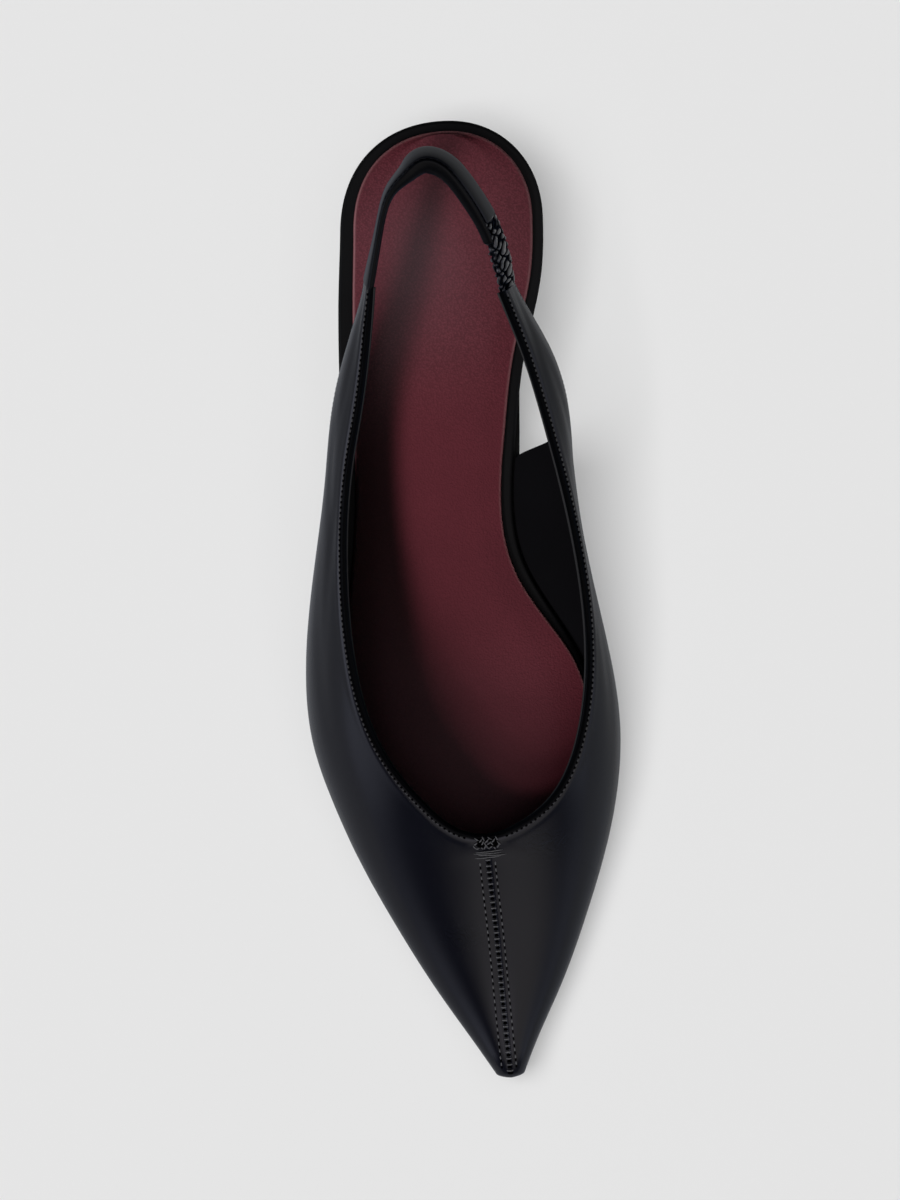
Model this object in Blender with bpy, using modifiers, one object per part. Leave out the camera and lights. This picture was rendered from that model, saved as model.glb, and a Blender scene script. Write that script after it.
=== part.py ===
"""Slingback pump for the right foot, as the eight pieces a maker joins.

Sizes are in millimetres. A station is the distance from the back of the heel towards the toe, an offset is
the distance from the line between heel and toe, positive towards the arch, and a height is from the floor.
"""
from collections import namedtuple

import bpy
import numpy as np

MM = 0.001

LENGTH = 263.4
GAP = 0.3

HEEL_BREAST = 52.0
SEAT_HEIGHT = 27.0
SEAT_SLOPE = 0.07
BALL_BACK = 160.0
BALL_FRONT = 190.0
TOE_SPRING = 8.0

OUTSOLE_THICK = 3.0
OUTSOLE_END = 261.8
OUTSOLE_EDGE = 0.6
BOARD_THICK = 3.2
BOARD_END = 255.0
BOARD_EDGE = 1.1
SOCK_THICK = 2.0
SOCK_END = 248.0
SOCK_INSET = 4.0
SOCK_EDGE = 0.9
SEAT_BACK = 0.05
SEAT_ROUND = 28.0
SEAT_POWER = 2.15

WALL_THICK = 1.8
TOPLINE_THICK = 2.5
TOPLINE_BAND = 5.0
TOE_WALL = 0.6
NOSE = 7.0
TIP_SHARE = 0.45
WELD = 0.01

TOP_PIECE_THICK = 5.0
TOP_PIECE_EDGE = 0.5
HEEL_INSET = 1.2
HEEL_FOOT_WIDTH = 0.46
HEEL_FOOT_LENGTH = 0.48
HEEL_FOOT_STATION = 21.0
HEEL_FLARE = 2.2

STRAP_POWER = 2.6
ELASTIC_LENGTH = 18.0
ELASTIC_SLIM = 0.6
ELASTIC_GATHERS = 9
ELASTIC_RUFFLE = 0.45

# Numbers of faces along each piece, and how far the steps crowd towards an end.
TOPLINE_RIBS = 36
SEAM_RIBS = 18
UPPER_ROWS = 12
SOLE_STEPS = 36
BOARD_STEPS = 44
HEEL_STEPS = 24
HEEL_LEVELS = 9
STRAP_STOPS = 40
STRAP_POINTS = 12
GATHER_STOPS = 5
EDGE_TURN = 0.3
CROWDING = 1.5

Sole = namedtuple("Sole", "station lateral medial welt")
SOLE = (
    Sole(0.0, -28.6, 26.4, -1.4),
    Sole(25.0, -29.2, 26.2, -1.4),
    Sole(45.0, -31.2, 24.2, -1.4),
    Sole(65.0, -32.6, 18.4, -0.8),
    Sole(85.0, -33.8, 14.6, 1.0),
    Sole(107.0, -35.6, 12.2, 2.2),
    Sole(122.0, -37.8, 14.4, 2.2),
    Sole(135.0, -39.8, 20.8, 2.2),
    Sole(150.0, -41.8, 28.4, 2.2),
    Sole(168.0, -41.4, 31.2, 2.2),
    Sole(185.0, -37.6, 29.2, 2.2),
    Sole(205.0, -29.4, 23.6, 2.2),
    Sole(225.0, -20.0, 16.4, 2.2),
    Sole(245.0, -10.4, 8.8, 2.0),
    Sole(263.4, -0.4, 0.4, 2.0),
)

Last = namedtuple(
    "Last", "station lateral_reach lateral_height medial_reach medial_height ridge_offset ridge_height")
LAST = (
    Last(38.0, -23.3, 68.0, 14.2, 64.5, 0.0, 92.0),
    Last(46.0, -24.7, 64.0, 16.6, 60.5, 0.0, 87.6),
    Last(65.0, -31.5, 53.5, 25.2, 54.5, 0.0, 78.0),
    Last(80.0, -35.8, 46.5, 28.8, 49.0, 0.0, 72.5),
    Last(95.0, -38.4, 42.0, 29.3, 45.0, 0.5, 69.5),
    Last(125.0, -44.7, 28.0, 31.9, 37.0, 1.5, 63.8),
    Last(150.0, -48.3, 18.0, 35.9, 25.0, 2.0, 55.5),
    Last(168.0, -47.6, 14.5, 37.3, 17.0, 0.5, 48.5),
    Last(185.0, -43.1, 13.2, 35.5, 14.2, -1.3, 41.8),
    Last(197.0, -38.8, 12.6, 32.6, 12.8, -1.9, 36.2),
    Last(220.0, -28.3, 11.6, 24.3, 11.6, -1.2, 27.6),
    Last(240.0, -17.5, 11.6, 15.3, 11.6, -0.7, 22.6),
    Last(255.0, -8.3, 13.0, 7.3, 13.0, -0.3, 20.4),
    Last(263.4, -3.3, 14.6, 3.4, 14.6, 0.0, 19.6),
)

# A rib runs down the upper from the topline to its lower edge. The wrap says how far round the last that edge
# is: 0 on the ridge, 1 at the widest line and 2 on the feather line.
Rib = namedtuple("Rib", "top_station top_offset edge_station edge_wrap")
MEDIAL_RIBS = (
    Rib(50.0, 13.6, 46.8, 0.86),
    Rib(64.0, 17.8, 61.0, 0.94),
    Rib(78.0, 21.4, 75.0, 1.04),
    Rib(90.0, 24.2, 87.0, 1.35),
    Rib(100.0, 26.4, 93.0, 2.0),
    Rib(122.0, 29.8, 117.0, 2.0),
    Rib(146.0, 30.4, 142.0, 2.0),
    Rib(170.0, 26.2, 169.0, 2.0),
    Rib(187.0, 16.8, 192.0, 2.0),
    Rib(193.3, 7.5, 211.0, 2.0),
)
THROAT = Rib(195.8, -1.9, 226.0, 2.0)
LATERAL_RIBS = (
    Rib(193.0, -11.0, 211.0, 2.0),
    Rib(186.6, -18.0, 192.0, 2.0),
    Rib(170.0, -29.3, 169.0, 2.0),
    Rib(146.0, -35.2, 142.0, 2.0),
    Rib(122.0, -35.7, 117.0, 2.0),
    Rib(102.0, -33.8, 95.0, 2.0),
    Rib(90.0, -31.4, 87.0, 1.35),
    Rib(78.0, -28.2, 74.0, 1.06),
    Rib(64.0, -25.3, 60.0, 1.02),
    Rib(46.0, -22.8, 42.2, 1.12),
)

Strap = namedtuple("Strap", "station offset height lean width thick")
STRAP = (
    Strap(45.7, -21.7, 72.6, 8.0, 11.2, 2.3),
    Strap(36.0, -19.5, 76.2, 4.0, 10.8, 2.4),
    Strap(28.0, -17.4, 79.2, 4.0, 10.6, 2.4),
    Strap(21.6, -14.4, 81.6, 9.0, 10.6, 2.9),
    Strap(17.4, -9.8, 83.6, 17.0, 10.6, 3.5),
    Strap(14.8, -4.9, 84.6, 23.0, 10.6, 3.9),
    Strap(16.3, -1.1, 84.6, 23.0, 10.6, 4.0),
    Strap(19.8, 2.0, 84.0, 23.0, 10.6, 4.0),
    Strap(24.9, 5.2, 82.6, 23.0, 10.6, 4.0),
    Strap(31.6, 8.7, 80.6, 23.0, 10.6, 3.8),
    Strap(40.0, 11.4, 77.9, 23.0, 10.4, 3.6),
    Strap(49.3, 12.6, 75.0, 22.0, 10.4, 2.8),
)

Look = namedtuple("Look", "colour roughness")
LEATHER = Look((0.018, 0.018, 0.021), 0.42)
LINING = Look((0.012, 0.012, 0.013), 0.6)
BURGUNDY = Look((0.075, 0.02, 0.028), 0.5)
SOLE_LEATHER = Look((0.014, 0.014, 0.014), 0.5)
RUBBER = Look((0.011, 0.011, 0.011), 0.75)

for old in list(bpy.data.objects):
    bpy.data.objects.remove(old)
shoe = bpy.data.collections.new("slingback_pump")
bpy.context.scene.collection.children.link(shoe)


def column(table, name):
    """One named column of a table."""
    return np.array([getattr(row, name) for row in table], float)


def spline(x, y):
    """The natural cubic curve through the points, as a function of x."""
    step = np.diff(x)
    count = len(x)
    system = np.eye(count)
    bend = np.zeros(count)
    for i in range(1, count - 1):
        system[i, i - 1:i + 2] = step[i - 1], 2 * (step[i - 1] + step[i]), step[i]
        bend[i] = 6 * ((y[i + 1] - y[i]) / step[i] - (y[i] - y[i - 1]) / step[i - 1])
    bend = np.linalg.solve(system, bend)

    def curve(at):
        at = np.asarray(at, float)
        i = np.clip(np.searchsorted(x, at) - 1, 0, count - 2)
        past = at - x[i]
        left = x[i + 1] - at
        cubic = (bend[i] * left**3 + bend[i + 1] * past**3) / (6 * step[i])
        start = y[i] / step[i] - bend[i] * step[i] / 6
        end = y[i + 1] / step[i] - bend[i + 1] * step[i] / 6
        return cubic + start * left + end * past

    return curve


def steady(x, y):
    """A cubic curve through the points that never runs past them, as a function of x."""
    step = np.diff(x)
    slope = np.diff(y) / step
    product = slope[:-1] * slope[1:]
    total = slope[:-1] + slope[1:]
    inner = np.where(product > 0, 2 * product / np.where(total == 0, 1, total), 0)
    lean = np.concatenate([slope[:1], inner, slope[-1:]])

    def curve(at):
        at = np.asarray(at, float)
        i = np.clip(np.searchsorted(x, at) - 1, 0, len(step) - 1)
        t = np.clip((at - x[i]) / step[i], 0, 1)
        near = y[i] * (1 + 2 * t) * (1 - t)**2 + lean[i] * step[i] * t * (1 - t)**2
        return near + y[i + 1] * t**2 * (3 - 2 * t) + lean[i + 1] * step[i] * t**2 * (t - 1)

    return curve


def round_end(distance, radius, power):
    """Factor that brings a width to nothing at an end: 0 there and 1 from the radius on."""
    near = np.clip(1 - distance / radius, 0, 1)
    return (1 - near**power)**(1 / power)


def sole_height(station):
    """Height of the outsole's underside: level at the ball, sprung at the toe, rising in an S to the seat."""
    station = np.asarray(station, float)
    toe = TOE_SPRING * (np.clip(station - BALL_FRONT, 0, None) / (LENGTH - BALL_FRONT))**2
    run = BALL_BACK - HEEL_BREAST
    t = np.clip((BALL_BACK - station) / run, 0, 1)
    waist = SEAT_HEIGHT * t**2 * (3 - 2 * t) + SEAT_SLOPE * run * t**2 * (t - 1)
    seat = SEAT_SLOPE * np.clip(HEEL_BREAST - station, 0, None)
    return toe + waist + seat


def board_height(station):
    """Height of the board's underside and of the upper's feather line."""
    return sole_height(station) + OUTSOLE_THICK + GAP


sole_station = column(SOLE, "station")
lateral_edge = spline(sole_station, column(SOLE, "lateral"))
medial_edge = spline(sole_station, column(SOLE, "medial"))
welt = spline(sole_station, column(SOLE, "welt"))

last_station = column(LAST, "station")
last_curve = {name: spline(last_station, column(LAST, name)) for name in Last._fields[1:]}

widest = np.linspace(100, 200, 401)
CENTRE = (last_curve["lateral_reach"](widest).min() + last_curve["medial_reach"](widest).max()) / 2


def place(station, offset, height):
    """Points in metres: toe towards -Y, arch side towards +X, the middle of the shoe at the origin."""
    x = np.asarray(offset) - CENTRE
    y = LENGTH / 2 - np.asarray(station)
    return np.stack(np.broadcast_arrays(x, y, height), axis=-1) * MM


def last_point(station, wrap, side):
    """Offset and height on the last: a quarter ellipse from ridge to widest line, then a parabola down."""
    name = "medial" if side > 0 else "lateral"
    edge_curve = medial_edge if side > 0 else lateral_edge
    reach = last_curve[name + "_reach"](station)
    wide = last_curve[name + "_height"](station)
    edge = edge_curve(station)
    run = np.hypot(edge_curve(station + 0.5) - edge_curve(station - 0.5), 1)
    low = board_height(station)
    nose = TIP_SHARE + (1 - TIP_SHARE) * round_end(LENGTH - station, NOSE, 2)
    ridge = low + (last_curve["ridge_height"](station) - low) * nose
    wide = low + (wide - low) * nose
    feather = edge
    for _ in range(4):
        slant = np.arctan2(wide - low, 2 * np.abs(reach - feather))
        feather = edge + side * (GAP + WALL_THICK * np.sin(slant)) * run
    middle = last_curve["ridge_offset"](station)
    turn = np.clip(np.abs(wrap), 0, 1) * np.pi / 2
    fall = np.clip(np.abs(wrap) - 1, 0, 1)
    above = np.abs(wrap) < 1
    offset = np.where(above, middle + (reach - middle) * np.sin(turn), reach + (feather - reach) * fall**2)
    height = np.where(above, wide + (ridge - wide) * np.cos(turn), wide + (low - wide) * fall)
    return offset, height


def wrap_at(station, offset, side):
    """The wrap of a point above the widest line, from its offset."""
    middle = last_curve["ridge_offset"](station)
    reach = last_curve["medial_reach" if side > 0 else "lateral_reach"](station)
    return side * np.arcsin(np.clip((offset - middle) / (reach - middle), 0, 1)) * 2 / np.pi


def upper_half(side):
    """Half of the upper's outer face: ribs from the topline, then from the vamp seam, down to the lower edge.

    Gives each point's station, offset, height and distance from the topline.
    """
    table = MEDIAL_RIBS + (THROAT,) + LATERAL_RIBS
    path = np.stack([column(table, "top_station"), column(table, "top_offset")])
    length = np.concatenate([[0], np.cumsum(np.hypot(*np.diff(path)))])
    throat = len(MEDIAL_RIBS)
    at = np.linspace(0 if side > 0 else length[-1], length[throat], TOPLINE_RIBS + 1)
    top_station = spline(length, path[0])(at)
    top_wrap = wrap_at(top_station, spline(length, path[1])(at), side)
    top_wrap[-1] = 0
    edge_station = steady(length, column(table, "edge_station"))(at)
    edge_wrap = side * steady(length, column(table, "edge_wrap"))(at)
    seam = 1 - (1 - np.linspace(0, 1, SEAM_RIBS + 1)[1:])**CROWDING
    seam_top = THROAT.top_station + (LENGTH - THROAT.top_station) * seam
    seam_edge = THROAT.edge_station + (LENGTH - THROAT.edge_station) * seam
    top_station = np.concatenate([top_station, seam_top])[:, None]
    edge_station = np.concatenate([edge_station, seam_edge])[:, None]
    top_wrap = np.concatenate([top_wrap, 0 * seam])[:, None]
    edge_wrap = np.concatenate([edge_wrap, 0 * seam + 2 * side])[:, None]
    down = np.linspace(0, 1, UPPER_ROWS + 1)
    station = top_station * (1 - down) + edge_station * down
    offset, height = last_point(station, top_wrap * (1 - down) + edge_wrap * down, side)
    fall = np.sqrt((station - station[:, :1])**2 + (offset - offset[:, :1])**2 + (height - height[:, :1])**2)
    past_throat = np.hypot(station - THROAT.top_station, offset - THROAT.top_offset)
    fall[TOPLINE_RIBS:] = past_throat[TOPLINE_RIBS:]
    return station, offset, height, fall


def outline(start, end, count):
    """Plan of the board between two stations: lateral side from heel to toe, then medial side back."""
    station = start + (end - start) * np.linspace(0, 1, count)**CROWDING
    seat = round_end(station, SEAT_ROUND, SEAT_POWER)
    lateral = np.stack([station, lateral_edge(station) * seat], axis=-1)
    medial = np.stack([station, medial_edge(station) * seat], axis=-1)
    return np.concatenate([lateral, medial[::-1]])


def inset(plan, amount):
    """The plan drawn in by an amount along its normals."""
    run = np.roll(plan, -1, axis=0) - np.roll(plan, 1, axis=0)
    normal = np.stack([-run[:, 1], run[:, 0]], axis=-1) / np.linalg.norm(run, axis=1)[:, None]
    return plan + normal * np.asarray(amount)[..., None]


def layer(plan, height):
    """A plan laid at heights given as a function of the station."""
    return place(plan[:, 0], plan[:, 1], height(plan[:, 0]))


def new_part(name, vertices, faces, look):
    """An object from vertices and faces, shaded smooth, with its own material."""
    mesh = bpy.data.meshes.new(name)
    mesh.from_pydata(vertices, [], faces)
    mesh.shade_smooth()
    part = bpy.data.objects.new(name, mesh)
    shoe.objects.link(part)
    material = bpy.data.materials.new(name)
    material.use_nodes = True
    shader = material.node_tree.nodes["Principled BSDF"]
    shader.inputs["Base Color"].default_value = (*look.colour, 1)
    shader.inputs["Roughness"].default_value = look.roughness
    shader.inputs["Metallic"].default_value = 0
    mesh.materials.append(material)
    return part


def stack_part(name, rings, look):
    """A solid from plan rings, lowest first, closed above and below by strips from side to side."""
    count = len(rings[0])
    faces = []
    for level in range(len(rings) - 1):
        for i in range(count):
            low = level * count + i
            next_low = level * count + (i + 1) % count
            faces.append((low, next_low, next_low + count, low + count))
    last = (len(rings) - 1) * count
    for i in range(count // 2 - 1):
        pair = (i, i + 1, count - 2 - i, count - 1 - i)
        faces.append(tuple(reversed(pair)))
        faces.append(tuple(last + k for k in pair))
    return new_part(name, np.concatenate(rings), faces, look)


def tube_part(name, rings, look):
    """A solid from closed rings along a path, with a flat face at each end."""
    count = len(rings[0])
    faces = []
    for level in range(len(rings) - 1):
        for i in range(count):
            here = level * count + i
            beside = level * count + (i + 1) % count
            faces.append((here, beside, beside + count, here + count))
    last = (len(rings) - 1) * count
    faces.append(tuple(reversed(range(count))))
    faces.append(tuple(last + i for i in range(count)))
    return new_part(name, np.concatenate(rings), faces, look)


def strap_rings(elastic, stops, points):
    """Rounded sections along the sling, whose rows give its top edge, lean inwards, width and thickness."""
    path = place(column(STRAP, "station"), column(STRAP, "offset"), column(STRAP, "height")) / MM
    length = np.concatenate([[0], np.cumsum(np.linalg.norm(np.diff(path, axis=0), axis=1))])
    joint = length[-1] - ELASTIC_LENGTH
    at = np.linspace(joint + GAP, length[-1], stops) if elastic else np.linspace(0, joint, stops)
    edge = [spline(length, path[:, k]) for k in range(3)]
    along = np.stack([curve(at + 0.1) - curve(at - 0.1) for curve in edge], axis=-1)
    along /= np.linalg.norm(along, axis=1)[:, None]
    out = np.cross((0, 0, 1), along)
    out /= np.linalg.norm(out, axis=1)[:, None]
    lean = np.radians(spline(length, column(STRAP, "lean"))(at))[:, None]
    up = np.cross(along, out) * np.cos(lean) - out * np.sin(lean)
    face = np.cross(up, along)
    width = spline(length, column(STRAP, "width"))(at)[:, None, None]
    thick = spline(length, column(STRAP, "thick"))(at)[:, None, None]
    middle = np.stack([curve(at) for curve in edge], axis=-1)[:, None] - up[:, None] * width / 2
    if elastic:
        gather = np.cos(2 * np.pi * ELASTIC_GATHERS * (at - at[0]) / (at[-1] - at[0]))[:, None, None]
        width = width - ELASTIC_SLIM
        thick = thick - ELASTIC_SLIM - ELASTIC_RUFFLE * gather
    turn = np.linspace(0, 2 * np.pi, points, endpoint=False)[:, None]
    across = np.sign(np.cos(turn)) * np.abs(np.cos(turn))**(2 / STRAP_POWER)
    rise = np.sign(np.sin(turn)) * np.abs(np.sin(turn))**(2 / STRAP_POWER)
    return (middle + face[:, None] * across * thick / 2 + up[:, None] * rise * width / 2) * MM


# Upper: one wall of leather and lining in two halves, thicker at the folded topline.
# It is open above, behind and beneath.
halves = [upper_half(side) for side in (1, -1)]
station, offset, height, fall = (np.stack(pair) for pair in zip(*halves))
_, ribs, rows = station.shape
cells = []
for i in range(ribs - 1):
    for j in range(rows - 1):
        medial = (i * rows + j, (i + 1) * rows + j, (i + 1) * rows + j + 1, i * rows + j + 1)
        cells.append(medial)
        cells.append(tuple(ribs * rows + k for k in reversed(medial)))
for j in range(rows - 1):
    tip = (ribs - 1) * rows + j
    cells.append((ribs * rows + tip, ribs * rows + tip + 1, tip + 1, tip))
upper = new_part("upper", place(station, offset, height).reshape(-1, 3), cells, LEATHER)
fold = np.clip(1 - fall / TOPLINE_BAND, 0, 1)
wall = WALL_THICK + (TOPLINE_THICK - WALL_THICK) * fold**2 * (3 - 2 * fold)
wall *= 1 - (1 - TOE_WALL) * np.clip((station - LENGTH) / (2 * NOSE) + 1, 0, 1)
group = upper.vertex_groups.new(name="wall")
for index, thick in enumerate(wall.ravel()):
    group.add([index], float(thick / TOPLINE_THICK), "REPLACE")
weld = upper.modifiers.new("seam", "WELD")
weld.merge_threshold = WELD * MM
solid = upper.modifiers.new("wall", "SOLIDIFY")
solid.thickness = TOPLINE_THICK * MM
solid.offset = -1
solid.vertex_group = "wall"

# Outsole: thin leather with a slightly rounded edge, from the toe to the heel breast.
plan = outline(HEEL_BREAST + GAP, OUTSOLE_END, SOLE_STEPS)
plan = inset(plan, -welt(plan[:, 0]))
stack_part("outsole", [
    layer(inset(plan, OUTSOLE_EDGE), sole_height),
    layer(plan, lambda at: sole_height(at) + OUTSOLE_EDGE),
    layer(plan, lambda at: sole_height(at) + OUTSOLE_THICK),
], SOLE_LEATHER)

# Insole board, wrapped in black leather: its rounded rim shows round the sock.
plan = outline(SEAT_BACK, BOARD_END, BOARD_STEPS)
board_turn = EDGE_TURN * BOARD_EDGE
stack_part("insole_board", [
    layer(plan, board_height),
    layer(plan, lambda at: board_height(at) + BOARD_THICK - BOARD_EDGE),
    layer(inset(plan, board_turn), lambda at: board_height(at) + BOARD_THICK - board_turn),
    layer(inset(plan, BOARD_EDGE), lambda at: board_height(at) + BOARD_THICK),
], LINING)

# Sock: padded burgundy leather lying on the board.
plan = inset(outline(SEAT_BACK, SOCK_END, BOARD_STEPS), SOCK_INSET)
sock_bottom = BOARD_THICK + GAP
sock_top = sock_bottom + SOCK_THICK
sock_turn = EDGE_TURN * SOCK_EDGE
stack_part("sock_lining", [
    layer(plan, lambda at: board_height(at) + sock_bottom),
    layer(plan, lambda at: board_height(at) + sock_top - SOCK_EDGE),
    layer(inset(plan, sock_turn), lambda at: board_height(at) + sock_top - sock_turn),
    layer(inset(plan, SOCK_EDGE), lambda at: board_height(at) + sock_top),
], BURGUNDY)

# Heel: covered block that carries the seat and draws in to a small foot.
seat_plan = inset(outline(SEAT_BACK, HEEL_BREAST, HEEL_STEPS), HEEL_INSET)
seat_top = board_height(seat_plan[:, 0]) - GAP
heel_foot = TOP_PIECE_THICK + GAP
heel_rings = []
for share in np.linspace(0, 1, HEEL_LEVELS):
    flare = share**HEEL_FLARE
    wide = HEEL_FOOT_WIDTH + (1 - HEEL_FOOT_WIDTH) * flare
    long = HEEL_FOOT_LENGTH + (1 - HEEL_FOOT_LENGTH) * flare
    middle = HEEL_FOOT_STATION + (HEEL_BREAST / 2 - HEEL_FOOT_STATION) * flare
    ring_station = middle + (seat_plan[:, 0] - HEEL_BREAST / 2) * long
    ring_height = heel_foot + (seat_top - heel_foot) * share
    heel_rings.append(place(ring_station, seat_plan[:, 1] * wide, ring_height))
stack_part("heel", heel_rings, LEATHER)

# Top piece: rubber lift under the heel, flat on the floor.
lift = np.stack([HEEL_FOOT_STATION + (seat_plan[:, 0] - HEEL_BREAST / 2) * HEEL_FOOT_LENGTH,
                 seat_plan[:, 1] * HEEL_FOOT_WIDTH], axis=-1)
stack_part("heel_top_piece", [
    layer(inset(lift, TOP_PIECE_EDGE), lambda at: 0 * at),
    layer(lift, lambda at: 0 * at + TOP_PIECE_EDGE),
    layer(lift, lambda at: 0 * at + TOP_PIECE_THICK),
], RUBBER)

# Sling strap: padded leather from the end of the lateral arm round the back of the heel.
tube_part("sling_strap", strap_rings(False, STRAP_STOPS, STRAP_POINTS), LEATHER)

# Elastic gore: gathered leather over elastic, between the strap and the medial arm.
gather_stops = GATHER_STOPS * ELASTIC_GATHERS + 1
tube_part("elastic_gore", strap_rings(True, gather_stops, STRAP_POINTS), LEATHER)
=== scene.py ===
"""Slingback pump for the right foot: its finished surfaces, built round the frame of solids.

Sizes are in millimetres. A station is the distance from the back of the heel towards the toe, an offset is
the distance from the line between heel and toe, positive towards the arch, and a height is from the floor.
"""
from collections import namedtuple

import bmesh
import bpy
import numpy as np
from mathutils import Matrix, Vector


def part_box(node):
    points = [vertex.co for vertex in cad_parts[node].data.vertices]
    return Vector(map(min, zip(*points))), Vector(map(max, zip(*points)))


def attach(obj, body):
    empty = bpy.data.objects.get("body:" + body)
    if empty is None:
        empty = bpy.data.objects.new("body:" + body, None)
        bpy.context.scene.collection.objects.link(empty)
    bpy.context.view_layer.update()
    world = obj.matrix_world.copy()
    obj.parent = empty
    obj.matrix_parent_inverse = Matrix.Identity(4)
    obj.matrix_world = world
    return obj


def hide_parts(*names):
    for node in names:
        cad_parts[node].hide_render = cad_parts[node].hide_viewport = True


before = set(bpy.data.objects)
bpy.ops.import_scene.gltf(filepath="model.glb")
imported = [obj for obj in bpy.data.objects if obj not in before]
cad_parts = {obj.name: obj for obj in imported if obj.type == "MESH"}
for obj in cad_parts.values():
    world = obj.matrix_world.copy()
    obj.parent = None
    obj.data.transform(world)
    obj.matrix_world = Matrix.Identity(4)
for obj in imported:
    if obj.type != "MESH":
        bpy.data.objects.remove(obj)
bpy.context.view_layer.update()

# Insole board: the stiff board that the shoe is lasted on, wrapped in black lining leather.
# It bends up from the ball through the waist to the seat, and its rounded rim shows round the sock.
MM = 0.001
GAP = 0.3
LENGTH = 263.4
HEEL_BREAST = 52.0
SEAT_HEIGHT = 27.0
SEAT_SLOPE = 0.07
SEAT_BACK = 0.002
SEAT_ROUND = 28.0
SEAT_POWER = 2.15
BALL_BACK = 160.0
BALL_FRONT = 190.0
TOE_SPRING = 8.0
OUTSOLE_THICK = 3.0
BOARD_THICK = 3.2
BOARD_END = 255.0
BOARD_EDGE = 1.1
BOARD_TOE_ROUND = 4.0
EDGE_STEPS = 6
PLAN_STEPS = 170
WELD = 1e-7
SHARP = np.radians(38)
PEBBLE_BEND = 0.4
PORES_PER_PEBBLE = 3.1
PORE_DEPTH = 0.35

Sole = namedtuple("Sole", "station lateral medial welt")
SOLE = (
    Sole(0.0, -28.6, 26.4, -1.4),
    Sole(25.0, -29.2, 26.2, -1.4),
    Sole(45.0, -31.2, 24.2, -1.4),
    Sole(65.0, -32.6, 18.4, -0.8),
    Sole(85.0, -33.8, 14.6, 1.0),
    Sole(107.0, -35.6, 12.2, 2.2),
    Sole(122.0, -37.8, 14.4, 2.2),
    Sole(135.0, -39.8, 20.8, 2.2),
    Sole(150.0, -41.8, 28.4, 2.2),
    Sole(168.0, -41.4, 31.2, 2.2),
    Sole(185.0, -37.6, 29.2, 2.2),
    Sole(205.0, -29.4, 23.6, 2.2),
    Sole(225.0, -20.0, 16.4, 2.2),
    Sole(245.0, -10.4, 8.8, 2.0),
    Sole(263.4, -0.4, 0.4, 2.0),
)


def column(table, name):
    """One named column of a table."""
    return np.array([getattr(row, name) for row in table], float)


def spline(x, y):
    """The natural cubic curve through the points, as a function of x."""
    step = np.diff(x)
    count = len(x)
    system = np.eye(count)
    bend = np.zeros(count)
    for i in range(1, count - 1):
        system[i, i - 1:i + 2] = step[i - 1], 2 * (step[i - 1] + step[i]), step[i]
        bend[i] = 6 * ((y[i + 1] - y[i]) / step[i] - (y[i] - y[i - 1]) / step[i - 1])
    bend = np.linalg.solve(system, bend)

    def curve(at):
        at = np.asarray(at, float)
        i = np.clip(np.searchsorted(x, at) - 1, 0, count - 2)
        past = at - x[i]
        left = x[i + 1] - at
        cubic = (bend[i] * left**3 + bend[i + 1] * past**3) / (6 * step[i])
        start = y[i] / step[i] - bend[i] * step[i] / 6
        end = y[i + 1] / step[i] - bend[i + 1] * step[i] / 6
        return cubic + start * left + end * past

    return curve


def round_end(distance, radius, power):
    """Factor that brings a width to nothing at an end: 0 there and 1 from the radius on."""
    near = np.clip(1 - distance / radius, 0, 1)
    return (1 - near**power)**(1 / power)


def sole_height(station):
    """Height of the outsole's underside: level at the ball, sprung at the toe, rising in an S to the seat."""
    station = np.asarray(station, float)
    toe = TOE_SPRING * (np.clip(station - BALL_FRONT, 0, None) / (LENGTH - BALL_FRONT))**2
    run = BALL_BACK - HEEL_BREAST
    t = np.clip((BALL_BACK - station) / run, 0, 1)
    waist = SEAT_HEIGHT * t**2 * (3 - 2 * t) + SEAT_SLOPE * run * t**2 * (t - 1)
    seat = SEAT_SLOPE * np.clip(HEEL_BREAST - station, 0, None)
    return toe + waist + seat


def board_height(station):
    """Height of the board's underside and of the upper's lower edge."""
    return sole_height(station) + OUTSOLE_THICK + GAP


sole_station = column(SOLE, "station")
lateral_edge = spline(sole_station, column(SOLE, "lateral"))
medial_edge = spline(sole_station, column(SOLE, "medial"))

board_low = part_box("insole_board")[0]
CENTRE = lateral_edge(np.arange(0, LENGTH)).min() - board_low.x / MM


def place(station, offset, height):
    """Points in the frame: toe towards -Y, arch side towards +X, the middle of the shoe at the origin."""
    x = np.asarray(offset) - CENTRE
    y = LENGTH / 2 - np.asarray(station)
    return np.stack(np.broadcast_arrays(x, y, height), axis=-1)


def outline(start, end, toe_round=None):
    """Plan between two stations, rounded at the seat and at the toe: up the lateral side, down the medial."""
    station = start + (end - start) * (1 - np.cos(np.pi * np.linspace(0, 1, PLAN_STEPS))) / 2
    taper = round_end(station, SEAT_ROUND, SEAT_POWER)
    if toe_round:
        taper = taper * round_end(end + SEAT_BACK - station, toe_round, 2)
    lateral = np.stack([station, lateral_edge(station) * taper], axis=-1)
    medial = np.stack([station, medial_edge(station) * taper], axis=-1)
    return np.concatenate([lateral, medial[::-1]])


def inset(plan, amount):
    """The plan drawn in by an amount along its normals; an end cut straight across stays on its line."""
    run = np.roll(plan, -1, axis=0) - np.roll(plan, 1, axis=0)
    if np.ptp(plan[[0, -1], 1]) > BOARD_EDGE:
        run[0], run[-1] = (1, 0), (-1, 0)
    normal = np.stack([-run[:, 1], run[:, 0]], axis=-1) / np.linalg.norm(run, axis=1)[:, None]
    return plan + normal * np.asarray(amount)[..., None]


def layer(plan, height):
    """A plan laid at heights given as a function of the station."""
    return place(plan[:, 0], plan[:, 1], height(plan[:, 0]))


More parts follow.
